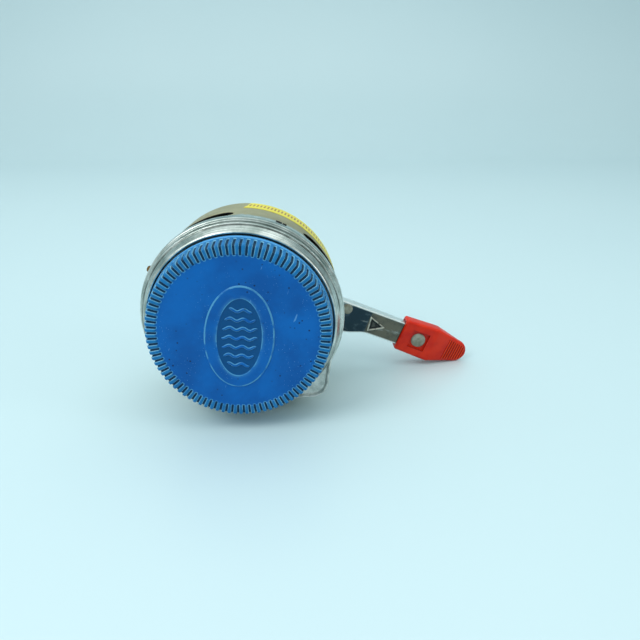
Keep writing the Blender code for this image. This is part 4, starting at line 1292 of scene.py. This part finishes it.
@dataclass
class TriggerLever(Assembly):
    """Plated channel lever with a pressed triangle, and its two rivets."""

    front: float = 57.8
    flange: float = 4.9
    sheet: float = 1.0
    start: float = 26.5
    end: float = 96.0
    middle: float = 3.1
    width: float = 12.5
    gusset_start: float = 42.0
    gusset_length: float = 22.0
    gusset_drop: float = 3.4
    gusset_fall: float = 6.0
    gusset_turn: float = 9.0
    swell: float = 1.3
    swell_length: float = 7.0
    fade: float = 1.9
    bend: float = 0.7
    edge_band: float = 0.8
    shank: float = 1.2
    rivets: tuple[Rivet, ...] = (Rivet("root_rivet", 49.0, 2.9, 2.6, 0.8),
                                 Rivet("pad_rivet", 90.1, 0.0, 3.8, 1.1))

    def build(self) -> None:
        """Build the channel, the triangle and the rivets."""
        self.channel()
        self.triangle()
        for rivet in self.rivets:
            self.rivet(rivet)

    def lower_edge(self, u: Array) -> Array:
        """Lower edge: straight, dropping to a gusset near the root and coming back."""
        start = self.gusset_start
        drop = smoothstep(start, start + self.gusset_fall, u)
        rise = smoothstep(start + self.gusset_length, start + self.gusset_turn, u)
        return self.middle - self.width / 2 - self.gusset_drop * drop * rise

    def flange_depth(self, u: Array) -> Array:
        """Depth of the sides: greatest beside the gusset, then less and less towards the pad."""
        top = self.gusset_start + self.swell_length
        swell = self.swell * smoothstep(self.gusset_start, top, u)
        return self.flange + swell - self.fade * smoothstep(top, self.end, u)

    def channel(self) -> None:
        """Channel section carried along the lever, its lower side following the gusset."""
        gusset = np.linspace(self.gusset_start, self.gusset_start + self.gusset_length, 30)
        u = np.unique(np.concatenate([np.linspace(self.start, self.end, 70), gusset]))
        top = self.middle + self.width / 2
        front, sheet, inner = self.front, self.sheet, self.front + self.sheet
        web = self.bend + 0.15
        rows = []
        for bottom, depth in zip(self.lower_edge(u), self.flange_depth(u)):
            rear = front + depth
            loop = [(bottom, rear, 0.2), (bottom, front, self.bend), (bottom + web, front, 0.0),
                    (top - web, front, 0.0), (top, front, self.bend), (top, rear, 0.2),
                    (top - sheet, rear, 0.2), (top - sheet, inner, 0.35),
                    (bottom + sheet, inner, 0.35), (bottom + sheet, rear, 0.2)]
            rows.append(filleted(loop, 6))
        body = np.stack(rows)
        points = self.place.place(u[:, None], body[..., 1], body[..., 0])
        low, high = self.lower_edge(u)[:, None] + self.edge_band, top - self.edge_band
        # marks 1 on the web's front, where the plating paints its dark reflection
        on_web = (body[..., 1] < front + 0.1) & (body[..., 0] > low) & (body[..., 0] < high)
        piece = self.maker.grid("lever_channel", points, (False, True), marks=on_web.astype(float),
                                lids=True)
        self.maker.settle(piece, Body.TRIGGER, Slot.CHROME, self.finishes.plating, ["trigger_lever"])

    def triangle(self) -> None:
        """Pressed triangle: a low rim round a sunk middle, over scaled copies of its edge."""
        corners = filleted([(61.6, 6.6, 0.7), (62.8, -1.8, 0.7), (71.2, 3.2, 0.7)], 6)
        outline = resample(np.concatenate([corners, corners[:1]]), 0.5)[:-1]
        centre = outline.mean(axis=0)
        share = np.array([1.0, 0.98, 0.92, 0.84, 0.76, 0.66, 0.50, 0.25, 0.0])
        height = np.array([-0.05, 0.25, 0.50, 0.46, 0.12, 0.04, 0.03, 0.03, 0.03])
        flat = centre + (outline[:, None, :] - centre) * share[None, :, None]
        station = self.front - np.broadcast_to(height, flat.shape[:2])
        points = self.place.place(flat[..., 0], station, flat[..., 1])
        # marks: 1 where the rim takes the painted highlight, 0 where the middle takes the painted dark
        # reflection
        across = np.array([0.3, 0.8, 1.0, 1.0, 0.6, 0.0, 0.0, 0.1, 0.1])
        piece = self.maker.grid("lever_pressing", points, (True, False),
                                marks=np.broadcast_to(across, flat.shape[:2]), lids=True)
        self.maker.settle(piece, Body.TRIGGER, Slot.CHROME, self.finishes.pressing)

    def rivet(self, rivet: Rivet) -> None:
        """Round-headed rivet through the web: a flattened dome, a collar and a shank."""
        front, tail, shank = self.front - 0.02, self.front + self.sheet, self.shank
        radius, height = rivet.radius, rivet.height
        turn = np.linspace(0.0, math.pi / 2, 9)
        dome = np.stack([radius * np.sin(turn),
                         self.front - height * (0.3 + 0.7 * np.cos(turn) ** 0.7)], axis=1)
        dimple = [[0.0, self.front - height * 0.86], [radius * 0.14, self.front - height * 0.95]]
        rest = [[radius, front], [shank, front], [shank, tail], [shank + 0.7, tail],
                [shank + 0.4, tail + 0.6], [0.0, tail + 0.7]]

        def base(local: Array) -> Array:
            """Stand the rivet on the web."""
            return self.place.place(rivet.along + local[..., 0], local[..., 2],
                                    self.middle + rivet.above + local[..., 1])

        outline = np.concatenate([dimple, dome[2:], rest])
        piece = self.maker.spindle(f"{rivet.node}_head", outline, base, 40)
        self.maker.settle(piece, Body.TRIGGER, Slot.RIVET, self.finishes.rivet, [rivet.node])


@dataclass
class FingerPad(Assembly):
    """Red moulded pad: a sleeve with a square window and a ribbed, sloping nose."""

    start: float = 80.0
    length: float = 38.8
    start_width: float = 17.4
    width: float = 18.6
    middle: float = 3.1
    front: float = 56.3
    depth: float = 7.8
    bend: float = 18.6
    nose: float = 6.4
    nose_rise: float = 2.4
    ribs: int = 8
    rib_start: float = 106.2
    rib_pitch: float = 1.42
    window: float = 9.2
    window_u: float = 90.1
    round: float = 1.3
    lever_end: float = 96.3
    web: float = 57.8
    end_round: float = 1.2
    end_inset: float = 0.7
    socket_half: float = 6.55
    socket_rear: float = 63.0
    soft_edge: float = 0.22
    soft_angle: float = 50.0

    def half_width(self, u: Array) -> Array:
        """Half width: flaring to the bend, then narrowing, then round at the tip."""
        tail = self.start + self.bend
        end = self.start + self.length
        flare = self.start_width + (self.width - self.start_width) * smoothstep(self.start, tail, u)
        taper = np.clip((u - tail) / (end - self.nose - tail), 0.0, 1.0)
        straight = flare / 2 - (self.width / 2 - self.nose * 0.95) * taper
        tip = np.clip((u - (end - self.nose)) / self.nose, 0.0, 1.0)
        return straight * np.sqrt(np.maximum(1.0 - tip**2, 0.0)) + 1e-6

    def face(self, u: Array) -> Array:
        """Station of the front face: flat, then sloping back past a soft bend.

        The bend is the soft ramp w ln(1 + exp((u - b) / w)).
        """
        soft = 0.35
        ramp = soft * np.log1p(np.exp((u - self.start - self.bend) / soft))
        run = self.length - self.bend
        return self.front + np.minimum(ramp / run, 1.0) * (self.depth - self.nose_rise)

    def lengths(self) -> Array:
        """Places of the sections: close together at both ends and over the ribs."""
        end = self.start + self.length
        near, slope = self.start + self.end_round, self.start + self.bend - 1
        parts = [np.linspace(self.start, near, 6), np.linspace(near, slope, 24)]
        parts += [np.linspace(slope, end - 0.6, 160)]
        parts += [end - self.nose * (1 - np.sin(np.linspace(0, math.pi / 2, 24)))]
        return np.unique(np.concatenate(parts))

    def build(self) -> None:
        """Rounded sections along the pad, ribbed on the slope, then the socket and window cut out."""
        u = self.lengths()
        end = self.start + self.length
        rear = self.front + self.depth
        near = ((self.start + self.end_round - u) / self.end_round).clip(0.0, 1.0)
        inset = self.end_inset * (1 - np.sqrt(1 - near**2))
        half = np.maximum(self.half_width(u) - inset, 0.02)
        face = self.face(u) + inset
        back = rear - inset - 1.2 * smoothstep(end - 8.0, end, u)
        r = np.minimum(self.round, np.minimum(half, (back - face) / 2) * 0.95)[:, None]
        half, face, back = half[:, None], face[:, None], back[:, None]
        v, t, marks = self.section(u, half, face, back, r)
        points = self.place.place(u[:, None], t, v + self.middle)
        pad = self.maker.grid("finger_pad_moulding", points, (False, True), marks=marks, lids=True)
        self.cut(pad, (self.start - 3, self.lever_end), (self.web - 0.05, self.socket_rear),
                 self.socket_half)
        window = self.window / 2
        self.cut(pad, (self.window_u - window, self.window_u + window),
                 (self.front - 2, self.web - 0.3), window)
        edge = pad.modifiers.new("soft_edges", "BEVEL")
        edge.width = self.soft_edge * MM
        edge.segments = 2
        edge.limit_method = "ANGLE"
        edge.angle_limit = math.radians(self.soft_angle)
        self.maker.settle(pad, Body.TRIGGER, Slot.RED, self.finishes.red, ["finger_pad"])

    def section(self, u: Array, half: Array, face: Array, back: Array,
                r: Array) -> tuple[Array, Array, Array]:
        """Rounded rectangle at each place along the pad, with ribs on its sloping front.

        Args:
            u: places along the pad.
            half: half widths.
            face: stations of the front.
            back: stations of the rear.
            r: corner rounds.

        Returns:
            Distances across the pad, stations, and marks for the finish.
        """
        corner = np.linspace(0.0, math.pi / 2, 6)
        flat = np.linspace(-1.0, 1.0, 24)
        front_v = flat * (half - r)
        phase = (u[:, None] - self.rib_start) / self.rib_pitch
        on = (phase > 0) & (phase < self.ribs) & (np.abs(flat)[None] < 0.93)
        crest = 0.5 - 0.5 * np.cos(2 * math.pi * phase)
        front_t = face + (0.3 - 0.65 * crest) * on + np.zeros_like(front_v)
        parts = [(front_v, front_t)]
        parts += [(half - r + r * np.sin(corner), face + r - r * np.cos(corner))]
        parts += [(half - r + r * np.cos(corner), back - r + r * np.sin(corner))]
        parts += [(-flat * (half - r), back + np.zeros_like(front_v))]
        parts += [(-(half - r + r * np.sin(corner)), back - r + r * np.cos(corner))]
        parts += [(-(half - r + r * np.cos(corner)), face + r - r * np.sin(corner))]
        v, t = (np.concatenate([part[k] for part in parts], axis=1) for k in range(2))
        marks = np.full(v.shape, 0.5)
        marks[:, :front_v.shape[1]] += (crest - 0.5) * on
        return v, t, marks

    def cut(self, pad: bpy.types.Object, u: Span, t: Span, half: float) -> None:
        """Take a block out of the pad for good.

        Args:
            pad: the pad.
            u: the block's span along the lever.
            t: its span of stations.
            half: half its width, about the lever's middle line.
        """
        along = np.array([u[0], u[0], u[1], u[1]])
        across = self.middle + half * np.array([-1.0, 1.0, 1.0, -1.0])
        points = self.place.place(along[:, None], np.array(t)[None, :], across[:, None])
        block = self.maker.grid("block", points, (True, False), lids=True)
        tool = pad.modifiers.new("cut", "BOOLEAN")
        tool.operation = "DIFFERENCE"
        tool.object = block
        graph = bpy.context.evaluated_depsgraph_get()
        pad.data = bpy.data.meshes.new_from_object(pad.evaluated_get(graph))
        pad.modifiers.remove(tool)
        pad.data.shade_smooth()
        pad.data.set_sharp_from_angle(angle=SHARP)
        bpy.data.objects.remove(block)


@dataclass
class SmallParts(Assembly):
    """Release button, foot, spool flanges, and the marks on the band."""

    button_angle: float = 158.0
    button_seat: float = 40.8
    button_collar: Span = (2.4, 0.7)
    button_stem: float = 1.5
    button_top: float = 45.9
    depth: float = 66.8
    foot_length: float = 62.0
    foot_width: float = 13.0
    foot_tip: float = 6.5
    foot_sheet: float = 1.2
    foot_crown: float = 1.8
    foot_post: float = 7.6
    foot_square: float = 0.32
    flange_bore: float = 20.3
    band: float = 42.9
    tab_height: float = 0.35
    tab_depths: Span = (21.0, 21.9)
    tab_angles: tuple[Span, ...] = ((68.0, 1.7), (64.8, 1.1))

    def build(self) -> None:
        """Build them all."""
        self.button()
        self.foot()
        self.flanges()
        self.tabs()

    def button(self) -> None:
        """Brass button whose axis points outwards at its own angle."""
        cosine, sine = heading(self.button_angle)
        station = sum(self.maker.stations.span("release_button")) / 2
        seat, stem, top = self.button_seat, self.button_stem, self.button_top
        collar, low = self.button_collar[0], seat - self.button_collar[1]
        outline = filleted([(0.0, low, 0.0), (collar, low, 0.15), (collar, seat, 0.15), (stem, seat, 0.1),
                            (stem, top - 0.6, 0.5), (stem - 0.6, top, 0.3), (0.0, top, 0.0)], 5, False)

        def base(local: Array) -> Array:
            """Lay the button's axis along its angle."""
            side, up, out = local[..., 0], local[..., 1], local[..., 2]
            x, z = out * cosine - side * sine, out * sine + side * cosine
            return np.stack([x, station + up, z], axis=-1)

        piece = self.maker.spindle("button_plunger", outline, base, 32)
        self.maker.settle(piece, Body.BUTTON, Slot.BRASS, self.finishes.brass, ["release_button"])

    def foot(self) -> None:
        """Reel foot: rounded sections whose width and thickness change along it."""
        half_length = self.foot_length / 2
        u = half_length * np.sin(np.linspace(-math.pi / 2, math.pi / 2, 120))
        tip = np.clip((np.abs(u) - (half_length - self.foot_tip)) / self.foot_tip, 0.0, 1.0)
        half = self.foot_width / 2 * np.sqrt(np.maximum(1 - tip**2, 0.0)) + 1e-3
        thick = self.foot_sheet + self.foot_crown * smoothstep(half_length, 14.0, np.abs(u))
        thick = thick + self.foot_post * smoothstep(17.0, 12.0, np.abs(u))
        under = self.depth - thick
        turn = turns(48)
        across, rise = [np.sign(wave) * np.abs(wave) ** self.foot_square
                        for wave in (np.cos(turn), np.sin(turn))]
        middle = (self.depth + under) / 2
        t = middle[:, None] + thick[:, None] / 2 * rise[None]
        pinch = 1.0 - 0.12 * smoothstep(0.0, 0.8, (self.depth - 3.0 - t) / 7.7)
        v = half[:, None] * across[None] * pinch
        points = self.place.place(u[:, None], t, v)
        piece = self.maker.grid("reel_foot_casting", points, (False, True), lids=True)
        self.maker.settle(piece, Body.FRAME, Slot.ALUMINIUM, self.finishes.aluminium, ["reel_foot"])

    def flanges(self) -> None:
        """Spool flanges with a rolled rim, dressed in the near-black painted shade inside the drum."""
        for name in ("front", "rear"):
            node = f"spool_{name}_flange"
            front, rear = self.maker.stations.span(node)
            radius = self.maker.stations.radius(node)
            bore, rim = self.flange_bore, radius - 1.0
            outline = filleted([(bore, front, 0.1), (rim, front, 0.3), (radius, front, 0.45),
                                (radius, rear, 0.45), (rim, rear, 0.3), (bore, rear, 0.1)], 4)
            piece = self.maker.lathe(f"spool_{name}_disc", outline, 160)
            self.maker.settle(piece, Body.SPOOL, Slot.ALUMINIUM, self.finishes.shadow, [node])

    def tabs(self) -> None:
        """Two small dark tab ends on the band's rear edge, as thin bent pads."""
        (front, rear), top = self.tab_depths, self.band + self.tab_height
        section = filleted([(self.band, front, 0.1), (top, front, 0.2), (top, rear, 0.2),
                            (self.band, rear, 0.1)], 4)
        for number, (middle, width) in enumerate(self.tab_angles, 1):
            angle = np.radians(np.linspace(middle - width, middle + width, 10))
            points = ring(section[None, :, 0], angle[:, None], section[None, :, 1])
            piece = self.maker.grid(f"band_tab_{number}", points, (False, True), lids=True)
            self.maker.settle(piece, Body.FRAME, Slot.STEEL, self.finishes.shadow)


@dataclass
class Studio:
    """Pale sweep, soft lights and the camera."""

    floor: float
    camera_place: Corner = (0.02537, -0.25525, 0.0856)
    pitch: float = 22.89
    yaw: float = -1.96
    lens: float = 29.53
    world_lean: float = -0.35
    world_heights: Span = (-0.25, 0.75)
    world_glow: Span = (0.26, 1.0)

    def build(self) -> None:
        """Build the sweep, the lights, the world and the camera."""
        self.sweep()
        self.lights()
        self.world()
        self.camera()

    def sweep(self) -> None:
        """Floor that curves up into a back wall: a line swept sideways."""
        bend = np.linspace(0.0, math.pi / 2, 16)
        y = np.concatenate([[-1.6], 0.9 + 0.5 * np.sin(bend), [1.4]])
        z = np.concatenate([[0.0], 0.5 - 0.5 * np.cos(bend), [2.6]]) + self.floor
        x = np.array([-2.5, 2.5])
        points = np.stack(np.broadcast_arrays(x[:, None], y[None], z[None]), axis=-1)
        mesh = bpy.data.meshes.new("sweep")
        rows, columns = points.shape[:2]
        faces = [(j, columns + j, columns + j + 1, j + 1) for j in range(columns - 1)]
        mesh.from_pydata(points.reshape(rows * columns, 3).tolist(), [], faces)
        mesh.shade_smooth()
        sweep = bpy.data.objects.new("sweep", mesh)
        bpy.context.scene.collection.objects.link(sweep)
        bench = Bench("pale_sweep", roughness=0.35)
        bench.paint(bench.blend(bench.noise(3.0, 2.0), srgb("c8dde0"), srgb("c4dade")))
        sweep.data.materials.append(bench.material)
        sweep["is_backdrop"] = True

    @staticmethod
    def light(name: str, place: Corner, turn: Corner, size: Span, power: float) -> None:
        """Add one soft rectangular light.

        Args:
            name: its name.
            place: where it stands.
            turn: its rotation in degrees.
            size: its two sides in metres.
            power: watts.
        """
        data = bpy.data.lights.new(name, "AREA")
        data.shape = "RECTANGLE"
        data.size, data.size_y = size
        data.energy = power
        lamp = bpy.data.objects.new(name, data)
        lamp.location = place
        lamp.rotation_euler = [math.radians(value) for value in turn]
        bpy.context.scene.collection.objects.link(lamp)

    def lights(self) -> None:
        """A broad overhead light, a key from the upper left and a weak one from the right."""
        self.light("overhead", (-0.1, 0.25, 1.3), (0.0, 0.0, 0.0), (2.2, 1.8), 9.6)
        self.light("key", (-0.6, -0.5, 0.8), (48.0, 0.0, -50.0), (0.5, 0.5), 4.4)
        self.light("side", (0.75, -0.35, 0.35), (68.0, 0.0, 65.0), (0.25, 0.5), 1.0)

    def world(self) -> None:
        """Pale world, bright overhead and on the left, and dim round the horizon on the right."""
        world = bpy.data.worlds.new("room")
        world.use_nodes = True
        tree = world.node_tree
        back = tree.nodes["Background"]
        where = tree.nodes.new("ShaderNodeTexCoord")
        split = tree.nodes.new("ShaderNodeSeparateXYZ")
        tree.links.new(where.outputs["Generated"], split.inputs[0])
        lean = tree.nodes.new("ShaderNodeMath")
        lean.operation = "MULTIPLY_ADD"
        lean.inputs[1].default_value = self.world_lean
        tree.links.new(split.outputs[0], lean.inputs[0])
        tree.links.new(split.outputs[2], lean.inputs[2])
        spread = tree.nodes.new("ShaderNodeMapRange")
        spread.interpolation_type = "SMOOTHSTEP"
        for end, height, glow in zip(("Min", "Max"), self.world_heights, self.world_glow):
            spread.inputs[f"From {end}"].default_value = height
            spread.inputs[f"To {end}"].default_value = glow
        tree.links.new(lean.outputs[0], spread.inputs["Value"])
        back.inputs["Color"].default_value = (*srgb("dceef2"), 1.0)
        tree.links.new(spread.outputs[0], back.inputs["Strength"])
        bpy.context.scene.world = world

    def camera(self) -> None:
        """Camera in front of the cap, above it and a little to its right."""
        data = bpy.data.cameras.new("camera")
        data.lens = self.lens
        data.sensor_width = 36.0
        data.clip_start = 0.01
        camera = bpy.data.objects.new("camera", data)
        camera.location = self.camera_place
        camera.rotation_euler = (math.radians(90.0 - self.pitch), 0.0, math.radians(self.yaw))
        bpy.context.scene.collection.objects.link(camera)
        bpy.context.scene.camera = camera


@dataclass
class Reel:
    """The whole reel: new pieces, and finishes for the CAD nodes that stay."""

    stations: Stations

    def build(self) -> None:
        """Build every sub-assembly in order."""
        finishes = Finishes(self.stations.front * MM)
        maker = Maker(self.stations)
        self.dress(finishes)
        for kind in (WindingCap, FrontHousing, SpoolDrum, TriggerLever, FingerPad, SmallParts):
            kind(maker, finishes).build()
            LOG.info("built %s", kind.__name__)

    @staticmethod
    def dress(finishes: Finishes) -> None:
        """Give every CAD node the finish of its slot, except the spool's inner nodes, which take the
        near-black painted shade.
        """
        slots = {entry["node"]: entry["material_slot"] for entry in frame["record"]["subparts"]}
        table = finishes.by_slot()
        for name, node in frame["nodes"].items():
            node.data.materials.clear()
            # spool nodes inside the drum are dressed in the near-black painted shade
            inside = name.startswith("spool_") and name != "spool_housing"
            node.data.materials.append(finishes.shadow if inside else table[slots[name]])


def corners(bounds: Any) -> list[list[float]]:
    """A box as plain lists."""
    return [[float(value) for value in corner] for corner in bounds]


def main() -> None:
    """Build the reel and its studio, and gather the bounds before and after."""
    logging.basicConfig(level=logging.INFO, format="%(name)s: %(message)s")
    cad_box = corners(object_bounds())
    stations = Stations.read()
    Reel(stations).build()
    Studio(floor=min(corner[2] for corner in cad_box)).build()
    bpy.context.scene.view_settings.view_transform = "Standard"
    {"cad": cad_box, "visual": corners(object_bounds())}


if __name__ == "__main__":
    main()
